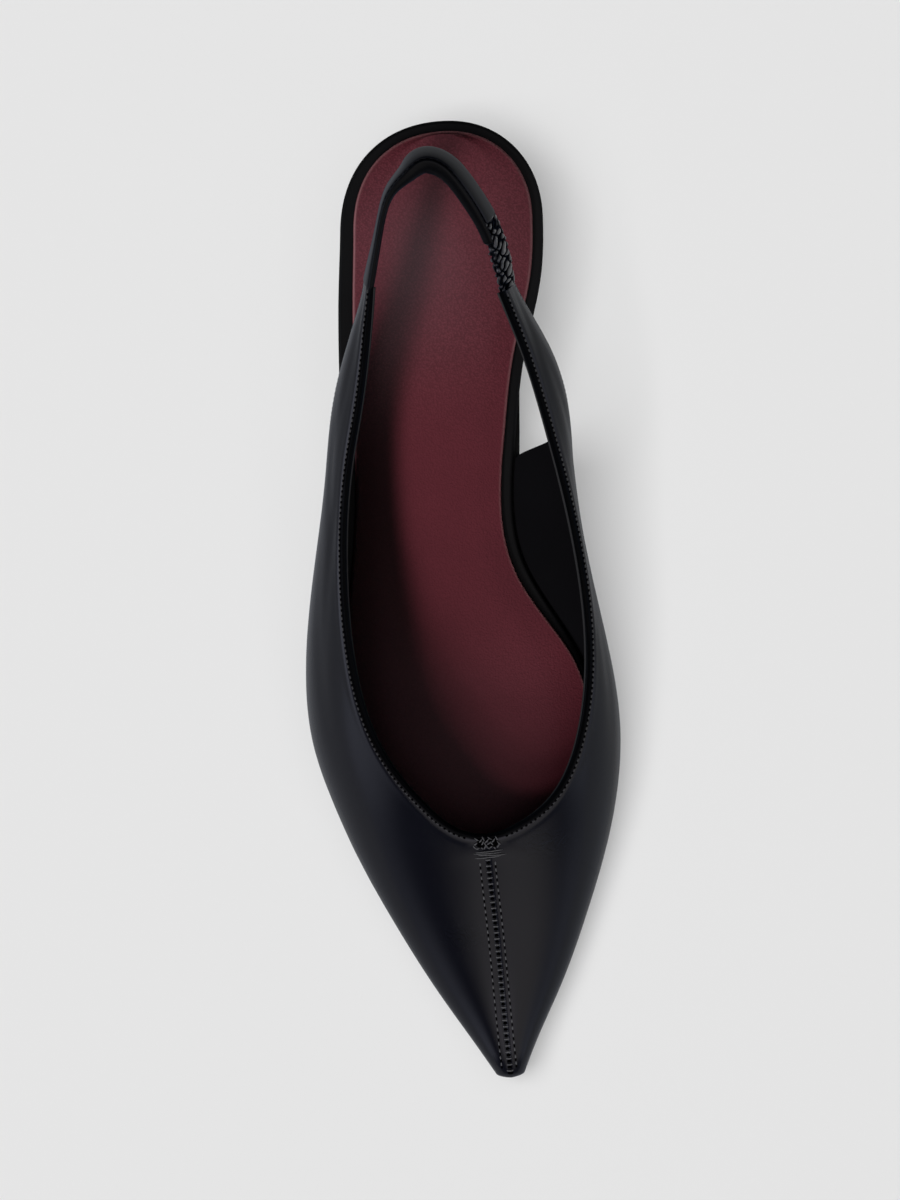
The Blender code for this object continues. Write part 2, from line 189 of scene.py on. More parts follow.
Patch = namedtuple("Patch", "points wrap", defaults=(False,))


def stack(rings):
    """Patches of a slab: its rings, lowest first, and strips from side to side below and above."""
    rings = np.stack(rings)
    half = rings.shape[1] // 2
    caps = [np.stack([ring[:half], ring[half:][::-1]]) for ring in (rings[0], rings[-1])]
    return [Patch(rings, True), Patch(caps[0]), Patch(caps[1])]


def grid_faces(patch, start):
    """Four-sided faces of a grid numbered from start; a wrapped grid joins its last column to its first."""
    rows, columns = patch.points.shape[:2]
    index = start + np.arange(rows * columns).reshape(rows, columns)
    if patch.wrap:
        index = np.concatenate([index, index[:, :1]], axis=1)
    corners = index[:-1, :-1], index[:-1, 1:], index[1:, 1:], index[1:, :-1]
    return np.stack(corners, axis=-1).reshape(-1, 4)


def new_piece(name, patches, material, nodes=(), marks=()):
    """A closed piece from grids of points in millimetres, welded where they meet, with its faces outward.

    Each point may carry further numbers after its three coordinates: marks names them as attributes.
    """
    sizes = [patch.points.shape[0] * patch.points.shape[1] for patch in patches]
    starts = np.cumsum([0] + sizes[:-1])
    points = np.concatenate([patch.points.reshape(-1, patch.points.shape[-1]) for patch in patches])
    faces = np.concatenate([grid_faces(patch, start) for patch, start in zip(patches, starts)])
    mesh = bpy.data.meshes.new(name)
    mesh.from_pydata(points[:, :3] * MM, [], faces.tolist())
    for place_in_row, mark in enumerate(marks, 3):
        mesh.attributes.new(mark, "FLOAT", "POINT").data.foreach_set("value", points[:, place_in_row].copy())
    work = bmesh.new()
    work.from_mesh(mesh)
    bmesh.ops.remove_doubles(work, verts=work.verts, dist=WELD)
    bmesh.ops.recalc_face_normals(work, faces=work.faces)
    if work.calc_volume(signed=True) < 0:
        bmesh.ops.reverse_faces(work, faces=work.faces)
    work.to_mesh(mesh)
    work.free()
    mesh.shade_smooth()
    mesh.set_sharp_from_angle(angle=SHARP)
    mesh.materials.append(material)
    piece = bpy.data.objects.new(name, mesh)
    bpy.context.scene.collection.objects.link(piece)
    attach(piece, "root")
    if nodes:
        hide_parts(*nodes)
    return piece


def shader_node(tree, kind, inputs=(), **settings):
    """A shader node with its settings; each input is given a value or a link from another node's socket."""
    made = tree.nodes.new("ShaderNode" + kind)
    for name, value in settings.items():
        setattr(made, name, value)
    for name, value in dict(inputs).items():
        if isinstance(value, bpy.types.NodeSocket):
            tree.links.new(value, made.inputs[name])
        else:
            made.inputs[name].default_value = value
    return made


def grain_group():
    """Node group of leather grain: pebbles parted by creases, fine pores, and a slow drift of tone."""
    tree = bpy.data.node_groups.new("leather_grain", "ShaderNodeTree")
    for name in ("Pebbles per metre", "Drift per metre"):
        tree.interface.new_socket(name, in_out="INPUT", socket_type="NodeSocketFloat")
    for name in ("Height", "Drift"):
        tree.interface.new_socket(name, in_out="OUTPUT", socket_type="NodeSocketFloat")
    given = tree.nodes.new("NodeGroupInput").outputs
    pebbles = given["Pebbles per metre"]
    where = shader_node(tree, "TexCoord").outputs["Object"]
    bend = shader_node(tree, "TexNoise", {"Vector": where, "Scale": pebbles, "Detail": 1.0})
    shift = shader_node(
        tree, "VectorMath", {0: bend.outputs["Color"], 3: PEBBLE_BEND * MM}, operation="SCALE")
    bent = shader_node(tree, "VectorMath", {0: where, 1: shift.outputs["Vector"]})
    pebble = shader_node(
        tree, "TexVoronoi", {"Vector": bent.outputs["Vector"], "Scale": pebbles}, feature="SMOOTH_F1")
    dome = shader_node(tree, "MapRange", {
        "Value": pebble.outputs["Distance"], "From Min": 0.0, "From Max": 0.8, "To Min": 1.0, "To Max": 0.0})
    finer = shader_node(tree, "Math", {0: pebbles, 1: PORES_PER_PEBBLE}, operation="MULTIPLY")
    pore = shader_node(tree, "TexNoise", {"Vector": where, "Scale": finer.outputs["Value"], "Detail": 2.0})
    high = shader_node(tree, "Math", {0: pore.outputs["Fac"], 1: PORE_DEPTH, 2: dome.outputs["Result"]},
                       operation="MULTIPLY_ADD")
    drift = shader_node(tree, "TexNoise", {"Vector": where, "Scale": given["Drift per metre"], "Detail": 4.0})
    result = tree.nodes.new("NodeGroupOutput")
    tree.links.new(high.outputs["Value"], result.inputs["Height"])
    tree.links.new(drift.outputs["Fac"], result.inputs["Drift"])
    return tree


grain = grain_group()


def leather(name, colour, spread, roughness, pebble, relief, gloss, sheen=0.0, specular=0.0, drift=40.0,
            lining_and_painted_light=None, lining_and_painted_light_mark=None, polished=0.0, polish_mark=None,
            painted_glint=0.0, painted_glint_mark=None, crinkle_mark=None):
    """A leather: its colour drifts by a share, pebbles of a size are pressed in, and a thin finish shines.

    Each mark is an attribute that goes from 0 to 1. It turns the leather to the marked colour: painted shade
    in some folds, a painted highlight along some edges, and the lining's own colour on the strap. It takes
    the finish to the polished gloss, paints glints on the pebble tops and shade in the pits by the painted
    glint share, or sinks fine crinkles in.
    """
    material = bpy.data.materials.new(name)
    material.use_nodes = True
    tree = material.node_tree
    shader = tree.nodes["Principled BSDF"].inputs
    skin = shader_node(tree, "Group", {"Pebbles per metre": 1 / (pebble * MM), "Drift per metre": drift},
                       node_tree=grain).outputs

    def marked(mark):
        return shader_node(tree, "Attribute", attribute_name=mark).outputs["Fac"]

    dark, light = ((*np.array(colour) * share, 1) for share in (1 - spread, 1 + spread))
    tones = {"Factor": skin["Drift"], 6: dark, 7: light}
    paint = shader_node(tree, "Mix", tones, data_type="RGBA").outputs[2]
    # The glint share paints light flecks on the pebble tops and a little shade in the pits between them.
    if painted_glint_mark:
        glint = shader_node(tree, "MapRange", {
            "Value": skin["Height"], "From Min": 0.5, "From Max": 1.1, "To Min": -painted_glint / 2,
            "To Max": 2 * painted_glint})
        share = shader_node(tree, "Math", {0: glint.outputs["Result"], 1: marked(painted_glint_mark), 2: 1.0},
                            operation="MULTIPLY_ADD").outputs["Value"]
        paint = shader_node(tree, "VectorMath", {0: paint, 3: share}, operation="SCALE").outputs[0]
    # The marked colour paints shade on some pieces and a highlight on others; on the strap it is the lining's
    # own colour.
    if lining_and_painted_light_mark:
        retoned = {"Factor": marked(lining_and_painted_light_mark), 6: paint, 7: (*lining_and_painted_light, 1)}
        paint = shader_node(tree, "Mix", retoned, data_type="RGBA").outputs[2]
    tree.links.new(paint, shader["Base Color"])
    height = skin["Height"]
    if crinkle_mark:
        sunk = {0: marked(crinkle_mark), 1: crinkle_lines(tree), 2: height}
        height = shader_node(tree, "Math", sunk, operation="MULTIPLY_ADD").outputs["Value"]
    bump = shader_node(tree, "Bump", {"Height": height, "Distance": relief * MM})
    tree.links.new(bump.outputs["Normal"], shader["Normal"])
    worn = shader_node(tree, "MapRange", {"Value": skin["Drift"], "To Min": 0.5, "To Max": 0.7})
    tree.links.new(worn.outputs["Result"], shader["Roughness"])
    shader["Coat Weight"].default_value = gloss
    if polish_mark:
        shine = {"Value": marked(polish_mark), "To Min": gloss, "To Max": polished}
        tree.links.new(shader_node(tree, "MapRange", shine).outputs["Result"], shader["Coat Weight"])
    shader["Coat Roughness"].default_value = roughness
    shader["Specular IOR Level"].default_value = specular
    shader["Sheen Weight"].default_value = sheen
    shader["Sheen Roughness"].default_value = 0.5
    shader["Sheen Tint"].default_value = (0.45, 0.62, 1.0, 1)
    return material


board_leather = leather("board_leather", (0.0062, 0.0062, 0.0066), spread=0.25, roughness=0.5, pebble=0.5,
                        relief=0.02, gloss=0.09)
plan = outline(SEAT_BACK, BOARD_END, BOARD_TOE_ROUND)
rings = [layer(plan, board_height)]
for turn in np.linspace(0, np.pi / 2, EDGE_STEPS):
    drawn_in = BOARD_EDGE * (1 - np.cos(turn))
    top = BOARD_THICK - BOARD_EDGE * (1 - np.sin(turn))
    rings.append(layer(inset(plan, drawn_in), lambda at: board_height(at) + top))
new_piece("insole_board_wrapped", stack(rings), board_leather, ["insole_board"])

# Upper: vamp and quarters of smooth black leather, joined by a seam down the middle of the vamp.
# The topline is folded in over a tape, and the lower edge is lasted in between the board and the outsole.
WALL_THICK = 1.8
TOPLINE_THICK = 2.5
TOPLINE_BAND = 5.0
TOE_WALL = 0.6
NOSE = 7.0
TIP_SHARE = 0.45
TIP_ROUND = 1.2
RIBS = 260
SEAM_RIBS = 110
TIP_RIBS = 12
ROWS = 48
RIB_CROWDING = 1.35
SEAM_CROWDING = 2.2
ROW_CROWDING = 3.0
RIM_STEPS = 8
RIM_SWELL = 0.36
END_SWELL = 0.05
TOPLINE_ROW = 1.1
ROLL_RADIUS = 0.6
LEDGE_DEPTH = 0.45
LEDGE_FADE = 0.3
FOLD_THICK = 1.75
PUFF_RISE = 0.1
PUFF_BELOW = 1.2
PUFF_WIDTH = 0.8
ROW_SINK = 0.16
ROW_WIDTH = 0.35
ARM_DRAW = 0.5
ARM_REACH = 14.0
SEAM_GROOVE = 0.45
GROOVE_WIDTH = 0.55
SEAM_DIP = 0.3
DIP_WIDTH = 3.2
SEAM_LEAD = 1.0
SEAM_FADE = 4.0
LINING_THICK = 0.62

Last = namedtuple(
    "Last", "station lateral_reach lateral_height medial_reach medial_height ridge_offset ridge_height")
LAST = (
    Last(38.0, -23.3, 68.0, 14.2, 64.5, 0.0, 92.0),
    Last(46.0, -24.7, 64.0, 16.6, 60.5, 0.0, 87.6),
    Last(65.0, -31.5, 53.5, 25.2, 54.5, 0.0, 78.0),
    Last(80.0, -35.8, 46.5, 28.8, 49.0, 0.0, 72.5),
    Last(95.0, -38.4, 42.0, 29.3, 45.0, 0.5, 69.5),
    Last(125.0, -44.7, 28.0, 31.9, 37.0, 1.5, 63.8),
    Last(150.0, -48.3, 18.0, 35.9, 25.0, 2.0, 55.5),
    Last(168.0, -47.6, 14.5, 37.3, 17.0, 0.5, 48.5),
    Last(185.0, -43.1, 13.2, 35.5, 14.2, -1.3, 41.8),
    Last(197.0, -38.8, 12.6, 32.6, 12.8, -1.9, 36.2),
    Last(220.0, -28.3, 11.6, 24.3, 11.6, -1.2, 27.6),
    Last(240.0, -17.5, 11.6, 15.3, 11.6, -0.7, 22.6),
    Last(255.0, -8.3, 13.0, 7.3, 13.0, -0.3, 20.4),
    Last(263.4, -3.3, 14.6, 3.4, 14.6, 0.0, 19.6),
)

# A rib runs down the upper from the topline to its lower edge. The wrap says how far round the last that edge
# is: 0 on the ridge, 1 at the widest line and 2 on the feather line.
Rib = namedtuple("Rib", "top_station top_offset edge_station edge_wrap")
MEDIAL_RIBS = (
    Rib(50.0, 13.6, 46.8, 0.86),
    Rib(64.0, 17.8, 61.0, 0.94),
    Rib(78.0, 21.4, 75.0, 1.04),
    Rib(90.0, 24.2, 87.0, 1.35),
    Rib(100.0, 26.4, 93.0, 2.0),
    Rib(122.0, 29.8, 117.0, 2.0),
    Rib(146.0, 30.4, 142.0, 2.0),
    Rib(170.0, 26.2, 169.0, 2.0),
    Rib(187.0, 16.8, 192.0, 2.0),
    Rib(193.3, 7.5, 211.0, 2.0),
)
THROAT = Rib(195.8, -1.9, 226.0, 2.0)
LATERAL_RIBS = (
    Rib(193.0, -11.0, 211.0, 2.0),
    Rib(186.6, -18.0, 192.0, 2.0),
    Rib(170.0, -29.3, 169.0, 2.0),
    Rib(146.0, -35.2, 142.0, 2.0),
    Rib(122.0, -35.7, 117.0, 2.0),
    Rib(102.0, -33.8, 95.0, 2.0),
    Rib(90.0, -31.4, 87.0, 1.35),
    Rib(78.0, -28.2, 74.0, 1.06),
    Rib(64.0, -25.3, 60.0, 1.02),
    Rib(46.0, -22.8, 42.2, 1.12),
)

# Soft troughs in the quarters and beside the throat, in half 0, the arch side, and half 1, the outer side.
# A slant of 0 runs along the shoe and 90 runs down the side.
Crease = namedtuple("Crease", "half station below slant length width depth")
CREASES = (
    Crease(0, 60.0, 5.0, -6.0, 14.0, 1.6, 0.22),
    Crease(0, 80.0, 9.0, 8.0, 18.0, 2.0, 0.26),
    Crease(0, 112.0, 6.5, -5.0, 20.0, 2.0, 0.20),
    Crease(0, 150.0, 9.0, 12.0, 22.0, 2.6, 0.24),
    Crease(0, 200.0, 5.0, 60.0, 5.0, 1.2, 0.17),
    Crease(1, 66.0, 5.0, 6.0, 16.0, 1.6, 0.20),
    Crease(1, 92.0, 8.0, -8.0, 20.0, 2.2, 0.26),
    Crease(1, 118.0, 5.5, 10.0, 22.0, 2.0, 0.22),
    Crease(1, 142.0, 13.0, 5.0, 24.0, 3.0, 0.26),
    Crease(1, 200.0, 5.0, 60.0, 5.0, 1.2, 0.17),
)
Crinkle = namedtuple("Crinkle", "station offset length width")
CRINKLES = (
    Crinkle(198.5, 13.5, 5.0, 7.0),
    Crinkle(223.0, -9.0, 3.5, 6.0),
)

last_station = column(LAST, "station")
last_curve = {name: spline(last_station, column(LAST, name)) for name in Last._fields[1:]}


def smooth(share):
    """0 below 0 and 1 above 1, with an S between: three squares less two cubes."""
    share = np.clip(share, 0, 1)
    return share**2 * (3 - 2 * share)


def bell(distance, width):
    """1 at distance 0, falling away on both sides as a bell of that width."""
    return np.exp(-(distance / width)**2)


def unit(vectors):
    """Vectors brought to length 1; a vector of no length stays as it is."""
    return vectors / np.maximum(np.linalg.norm(vectors, axis=-1, keepdims=True), WELD)


def steady(x, y):
    """A cubic curve through the points that never runs past them, as a function of x."""
    step = np.diff(x)
    slope = np.diff(y) / step
    product = slope[:-1] * slope[1:]
    total = slope[:-1] + slope[1:]
    inner = np.where(product > 0, 2 * product / np.where(total == 0, 1, total), 0)
    lean = np.concatenate([slope[:1], inner, slope[-1:]])

    def curve(at):
        at = np.asarray(at, float)
        i = np.clip(np.searchsorted(x, at) - 1, 0, len(step) - 1)
        t = np.clip((at - x[i]) / step[i], 0, 1)
        near = y[i] * (1 + 2 * t) * (1 - t)**2 + lean[i] * step[i] * t * (1 - t)**2
        return near + y[i + 1] * t**2 * (3 - 2 * t) + lean[i + 1] * step[i] * t**2 * (t - 1)

    return curve


def last_point(station, wrap, side):
    """Offset and height on the last: a quarter ellipse to the widest line, then a parabola to the feather."""
    name = "medial" if side > 0 else "lateral"
    edge_curve = medial_edge if side > 0 else lateral_edge
    reach = last_curve[name + "_reach"](station)
    wide = last_curve[name + "_height"](station)
    edge = edge_curve(station)
    run = np.hypot(edge_curve(station + 0.5) - edge_curve(station - 0.5), 1)
    low = board_height(station)
    nose = TIP_SHARE + (1 - TIP_SHARE) * round_end(LENGTH - station, NOSE, 2)
    ridge = low + (last_curve["ridge_height"](station) - low) * nose
    wide = low + (wide - low) * nose
    feather = edge
    for _ in range(4):
        slant = np.arctan2(wide - low, 2 * np.abs(reach - feather))
        feather = edge + side * (GAP + WALL_THICK * np.sin(slant)) * run
    middle = last_curve["ridge_offset"](station)
    turn = np.clip(np.abs(wrap), 0, 1) * np.pi / 2
    fall = np.clip(np.abs(wrap) - 1, 0, 1)
    above = np.abs(wrap) < 1
    offset = np.where(above, middle + (reach - middle) * np.sin(turn), reach + (feather - reach) * fall**2)
    height = np.where(above, wide + (ridge - wide) * np.cos(turn), wide + (low - wide) * fall)
    return middle + (offset - middle) * round_end(LENGTH - station, TIP_ROUND, 2), height


def wrap_at(station, offset, side):
    """The wrap of a point above the widest line, from its offset."""
    middle = last_curve["ridge_offset"](station)
    reach = last_curve["medial_reach" if side > 0 else "lateral_reach"](station)
    return side * np.arcsin(np.clip((offset - middle) / (reach - middle), 0, 1)) * 2 / np.pi


def upper_half(side):
    """Stations, offsets and heights of half the outer face, and the wrap at the lower edge of each rib.

    The ribs start at the topline from the arm to the throat, and then at the vamp seam.
    """
    table = MEDIAL_RIBS + (THROAT,) + LATERAL_RIBS
    path = np.stack([column(table, "top_station"), column(table, "top_offset")])
    length = np.concatenate([[0], np.cumsum(np.hypot(*np.diff(path)))])
    throat = length[len(MEDIAL_RIBS)]
    arm = 0 if side > 0 else length[-1]
    at = throat + (arm - throat) * (1 - np.linspace(0, 1, RIBS + 1))**RIB_CROWDING
    top_station = spline(length, path[0])(at)
    top_wrap = wrap_at(top_station, spline(length, path[1])(at), side)
    top_wrap[-1] = 0
    edge_station = steady(length, column(table, "edge_station"))(at)
    edge_wrap = side * steady(length, column(table, "edge_wrap"))(at)
    seam = 1 - (1 - np.linspace(0, 1, SEAM_RIBS + 1)[1:])**SEAM_CROWDING
    seam_top = THROAT.top_station + (LENGTH - THROAT.top_station) * seam
    seam_edge = THROAT.edge_station + (LENGTH - THROAT.edge_station) * seam
    top_station = np.concatenate([top_station, seam_top])[:, None]
    edge_station = np.concatenate([edge_station, seam_edge])[:, None]
    top_wrap = np.concatenate([top_wrap, 0 * seam])[:, None]
    edge_wrap = np.concatenate([edge_wrap, 0 * seam + 2 * side])[:, None]
    down = np.expm1(ROW_CROWDING * np.linspace(0, 1, ROWS)) / np.expm1(ROW_CROWDING)
    station = top_station * (1 - down) + edge_station * down
    offset, height = last_point(station, top_wrap * (1 - down) + edge_wrap * down, side)
    return station, offset, height, np.broadcast_to(np.abs(edge_wrap), station.shape)


def nearest(points, curve):
    """Distance from each point to the nearest point of a curve."""
    distance = np.full(points.shape[:-1], np.inf)
    for stop in curve:
        distance = np.minimum(distance, np.linalg.norm(points - stop, axis=-1))
    return distance


def bridge(first, last, out, swell, steps):
    """Half ellipse from one line of points to another, standing out by a share of their distance."""
    turn = np.linspace(0, np.pi, steps + 1)[:, None]
    middle = (first + last)[:, None] / 2
    half = (first - last)[:, None] / 2
    wide = 2 * np.linalg.norm(half[..., :3], axis=-1, keepdims=True)
    return middle + half * np.cos(turn) + out[:, None] * wide * swell * np.sin(turn)


def pad_marks(vectors, points):
    """Directions with nothing added to the numbers that points carry after their coordinates."""
    extra = np.zeros(vectors.shape[:-1] + (points.shape[-1] - 3,))
    return np.concatenate([vectors, extra], axis=-1)


def wall(outer, inner, open_ribs, lower_swell):
    """Patches of a sheet in two halves between an outer and an inner face, with rounded edges.

    The first ribs, up to open_ribs, end at a free top edge. From there on the halves join at their first row.
    """
    up = unit(outer[:, :, 0, :3] - outer[:, :, 1, :3])
    up[:, open_ribs] = unit(up[:, open_ribs].sum(axis=0))
    low = unit(outer[:, :, -1, :3] - outer[:, :, -2, :3])
    back = unit(outer[:, 0, :, :3] - outer[:, 1, :, :3])
    patches = []
    for half in range(2):
        face, lining = outer[half], inner[half]
        rim_out, foot_out = (pad_marks(way[half], face[:, 0]) for way in (up, low))
        top = bridge(lining[:, 0], face[:, 0], rim_out, RIM_SWELL, RIM_STEPS)
        foot = bridge(face[:, -1], lining[:, -1], foot_out, lower_swell[half], RIM_STEPS)
        turn = RIM_STEPS // 2
        loop = np.concatenate([top[:, turn:-1], face, foot[:, 1:-1], lining[:, ::-1], top[:, 1:turn]], axis=1)
        patches.append(Patch(loop[:open_ribs + 1], True))
        patches.append(Patch(np.concatenate([face, foot[:, 1:-1], lining[:, ::-1]], axis=1)[open_ribs:]))
        outside = np.concatenate([top[0, turn:-1], face[0], foot[0, 1:turn + 1]])
        inside = np.concatenate([top[0, 1:turn + 1][::-1], lining[0], foot[0, turn:-1][::-1]])
        end = np.concatenate([np.repeat(back[half][:1], turn, axis=0), back[half],
                              np.repeat(back[half][-1:], turn, axis=0)])
        patches.append(Patch(bridge(outside, inside, pad_marks(end, outside), END_SWELL, RIM_STEPS)))
    return patches


SIDES = np.array([1, -1])
station, offset, height, edge_wrap = (np.stack(part) for part in zip(*(upper_half(side) for side in SIDES)))
last_face = place(station, offset, height)
run_on, run_down = np.gradient(last_face, axis=(1, 2))
normal = unit(np.cross(run_on, run_down)) * SIDES[:, None, None, None]
normal[:, RIBS:, 0] = unit(normal[:, RIBS:, 0].sum(axis=0))
normal[:, -1] = unit(normal[:, -TIP_RIBS].sum(axis=0))
from_topline = nearest(last_face, last_face[:, :RIBS + 1, 0].reshape(-1, 3))
from_seam = np.abs(offset - last_curve["ridge_offset"](station))

from_row = from_topline - TOPLINE_ROW
relief = PUFF_RISE * bell(from_row - PUFF_BELOW, PUFF_WIDTH) - ROW_SINK * bell(from_row, ROW_WIDTH)
relief -= ROLL_RADIUS * (1 - round_end(from_topline, ROLL_RADIUS, 2))
relief -= LEDGE_DEPTH * (1 - smooth((from_topline - ROLL_RADIUS) / (TOPLINE_ROW - ROLL_RADIUS)))
from_end = station - station[:, :1]
relief[1] -= ARM_DRAW * (1 - smooth(from_end[1] / ARM_REACH))
for crease in CREASES:
    past = station[crease.half] - crease.station
    below = from_topline[crease.half] - crease.below
    slant = np.radians(crease.slant)
    across = below * np.cos(slant) - past * np.sin(slant)
    along = past * np.cos(slant) + below * np.sin(slant)
    relief[crease.half] -= crease.depth * bell(across, crease.width) * bell(along, crease.length)
crinkled = np.zeros_like(station)
for crinkle in CRINKLES:
    along = bell(station - crinkle.station, crinkle.length)
    crinkled += along * bell(offset - crinkle.offset, crinkle.width)
sewn = smooth((station - THROAT.top_station - SEAM_LEAD) / SEAM_FADE) * smooth((LENGTH - station) / SEAM_FADE)
relief -= sewn * (SEAM_GROOVE * bell(from_seam, GROOVE_WIDTH) + SEAM_DIP * bell(from_seam, DIP_WIDTH))
outer_face = last_face + normal * relief[..., None]

fold = np.clip(1 - from_topline / TOPLINE_BAND, 0, 1)
thick = WALL_THICK + (TOPLINE_THICK - WALL_THICK) * smooth(fold)
thick = thick * (1 - (1 - TOE_WALL) * np.clip((station - LENGTH) / (2 * NOSE) + 1, 0, 1))
leather_depth = FOLD_THICK * smooth(fold) + (thick - LINING_THICK) * (1 - smooth(fold))
inner_face = last_face - normal * leather_depth[..., None]
turned = 1 - smooth(from_row / LEDGE_FADE + 1)
lower_swell = RIM_SWELL * smooth(2 - edge_wrap[:, :, :1, None])


def with_marks(points, *marks):
    """Points that carry the marks as further numbers after their coordinates."""
    return np.concatenate([points, np.stack(np.broadcast_arrays(*marks), axis=-1)], axis=-1)


def crinkle_lines(tree):
    """Depth of fine crinkles: a thin furrow wherever a bent noise crosses its middle value."""
    where = shader_node(tree, "TexCoord").outputs["Object"]
    noise = shader_node(tree, "TexNoise", {"Vector": where, "Scale": 300.0, "Detail": 3.0, "Distortion": 1.2})
    away = shader_node(tree, "Math", {0: noise.outputs["Fac"], 1: 0.5}, operation="SUBTRACT")
    near = shader_node(tree, "Math", {0: away.outputs["Value"]}, operation="ABSOLUTE")
    furrow = shader_node(tree, "MapRange", {
        "Value": near.outputs["Value"], "From Max": 0.1, "To Min": -70.0, "To Max": 0.0})
    return furrow.outputs["Result"]


patches = wall(with_marks(outer_face, turned, crinkled), with_marks(inner_face, turned, crinkled),
               RIBS, lower_swell)
# The roll and ledge along the topline, marked turned, are painted near black with little gloss: painted
# shade.
upper_leather = leather("upper_leather", (0.0045, 0.0046, 0.008), spread=0.2, roughness=0.2, pebble=0.45,
                        relief=0.006, gloss=0.3, sheen=0.06, lining_and_painted_light=(0.0012, 0.0012, 0.0014),
                        lining_and_painted_light_mark="turned", polished=0.02, polish_mark="turned", crinkle_mark="crinkled")
new_piece("upper_leather_wall", patches, upper_leather, ["upper"], ["turned", "crinkled"])

# Lining: thin black leather on the inside of the upper, cut to its own pattern and lasted together with it.
# Its top edge is sewn in just below the fold of the topline, with a grey painted highlight along its crest.
LINING_DROP = 0.15
LINING_ROWS = 36
LINING_CROWDING = 1.5
LINING_CLEAR = 0.08
LINING_EDGE = 0.5
CREST_WIDTH = 0.3


def resample(field, index):
    """A field of the grid read at fractional row numbers, between the rows on either side."""
    low = np.clip(np.floor(index).astype(int), 0, ROWS - 2)
    share = index - low
    if field.ndim > index.ndim:
        low = np.broadcast_to(low[..., None], low.shape + field.shape[-1:])
        share = share[..., None]
    near = np.take_along_axis(field, low, axis=2)
    far = np.take_along_axis(field, low + 1, axis=2)
    return near * (1 - share) + far * share


def crossing(field, value):
    """Fractional row at which a field first reaches a value on each rib, or 0 where it starts above it."""
    reached = np.argmax(field >= value, axis=2)
    low = np.clip(reached - 1, 0, None)[..., None]
    near = np.take_along_axis(field, low, axis=2)
    far = np.take_along_axis(field, low + 1, axis=2)
    share = np.clip((value - near) / np.where(far == near, 1, far - near), 0, 1)
    return np.where(reached[..., None] == 0, 0, low + share)


start = crossing(from_topline, LINING_DROP)
index = start + (ROWS - 1 - start) * np.linspace(0, 1, LINING_ROWS)**LINING_CROWDING
lining_face = resample(last_face, index)
lining_normal = unit(resample(normal, index))
outside = resample(leather_depth, index) + LINING_CLEAR
inside = np.maximum(resample(thick, index), outside + LINING_EDGE)
crest = bell(resample(from_topline, index) - LINING_DROP, CREST_WIDTH)
lining_out, lining_in = (with_marks(lining_face - lining_normal * depth[..., None], crest)
                         for depth in (outside, inside))
lining_ribs = RIBS + int(np.argmax(from_topline[0, RIBS:, 0] >= LINING_DROP))
# The crest mark paints a grey highlight along the lining's top edge.
lining_leather = leather("lining_leather", (0.005, 0.0048, 0.0056), spread=0.25, roughness=0.6, pebble=0.5,
                         relief=0.015, gloss=0.07, lining_and_painted_light=(0.032, 0.032, 0.034), lining_and_painted_light_mark="crest")
new_piece("upper_lining", wall(lining_out, lining_in, lining_ribs, 0 * lower_swell),
          lining_leather, marks=["crest"])

# Topline stitching: one row of black thread through the folded edge, all round the throat and the arms.
# The same row follows the lower edge of each arm, where the leather is folded in as well.
STITCH_LENGTH = 1.1
STITCH_PITCH = 1.5
THREAD_THICK = 0.42
STITCH_RISE = 0.1
HOLE_LENGTH = 0.85
HOLE_THICK = 0.66
HOLE_SINK = 0.16
ROW_LEAD = 0.5
THROAT_CLEAR = 3.0
ARM_WRAP = 1.6
ARM_ROW = 1.7
ARM_ROW_END = 1.0
ARM_ROW_SINK = 0.12
ARM_THREAD_THICK = 0.3
STITCH_STOPS = 8
STITCH_SIDES = 6
THREAD_TWIST = 0.15
THREAD_RELIEF = 0.03
THREAD_DRIFT = 40.0


def thread_material(name, light, gloss):
    """Twisted black thread with a slight lustre: its raised strands are painted a lighter grey as a
    highlight.
    """
    material = bpy.data.materials.new(name)
    material.use_nodes = True
    tree = material.node_tree
    shader = tree.nodes["Principled BSDF"].inputs
    fine = {"Pebbles per metre": 1 / (THREAD_TWIST * MM), "Drift per metre": THREAD_DRIFT}
    twist = shader_node(tree, "Group", fine, node_tree=grain).outputs
    # The raised strands take the light grey: a painted highlight.
    strand = {"Factor": twist["Height"], 6: (0.007, 0.007, 0.008, 1), 7: (light, light, 1.06 * light, 1)}
    tree.links.new(shader_node(tree, "Mix", strand, data_type="RGBA").outputs[2], shader["Base Color"])
    bump = shader_node(tree, "Bump", {"Height": twist["Height"], "Distance": THREAD_RELIEF * MM})
    tree.links.new(bump.outputs["Normal"], shader["Normal"])
    lustre = shader_node(tree, "MapRange", {"Value": twist["Drift"], "To Min": 0.4, "To Max": 0.55})
    tree.links.new(lustre.outputs["Result"], shader["Roughness"])
    shader["Specular IOR Level"].default_value = gloss
    return material


def spaced(line, up, pitch, skip):
    """Stitch centres at a pitch along a line of points, with the line's direction and the surface's at each.

    skip gives the lengths left bare at the start and at the end of the line.
    """
    length = np.concatenate([[0], np.cumsum(np.linalg.norm(np.diff(line, axis=0), axis=1))])
    stops = np.arange(skip[0] + pitch / 2, length[-1] - skip[1], pitch)

    def read(field, at):
        return np.stack([np.interp(at, length, field[:, k]) for k in range(3)], axis=-1)

    way = read(line, stops + pitch / 3) - read(line, stops - pitch / 3)
    return read(line, stops), unit(way), unit(read(up, stops))


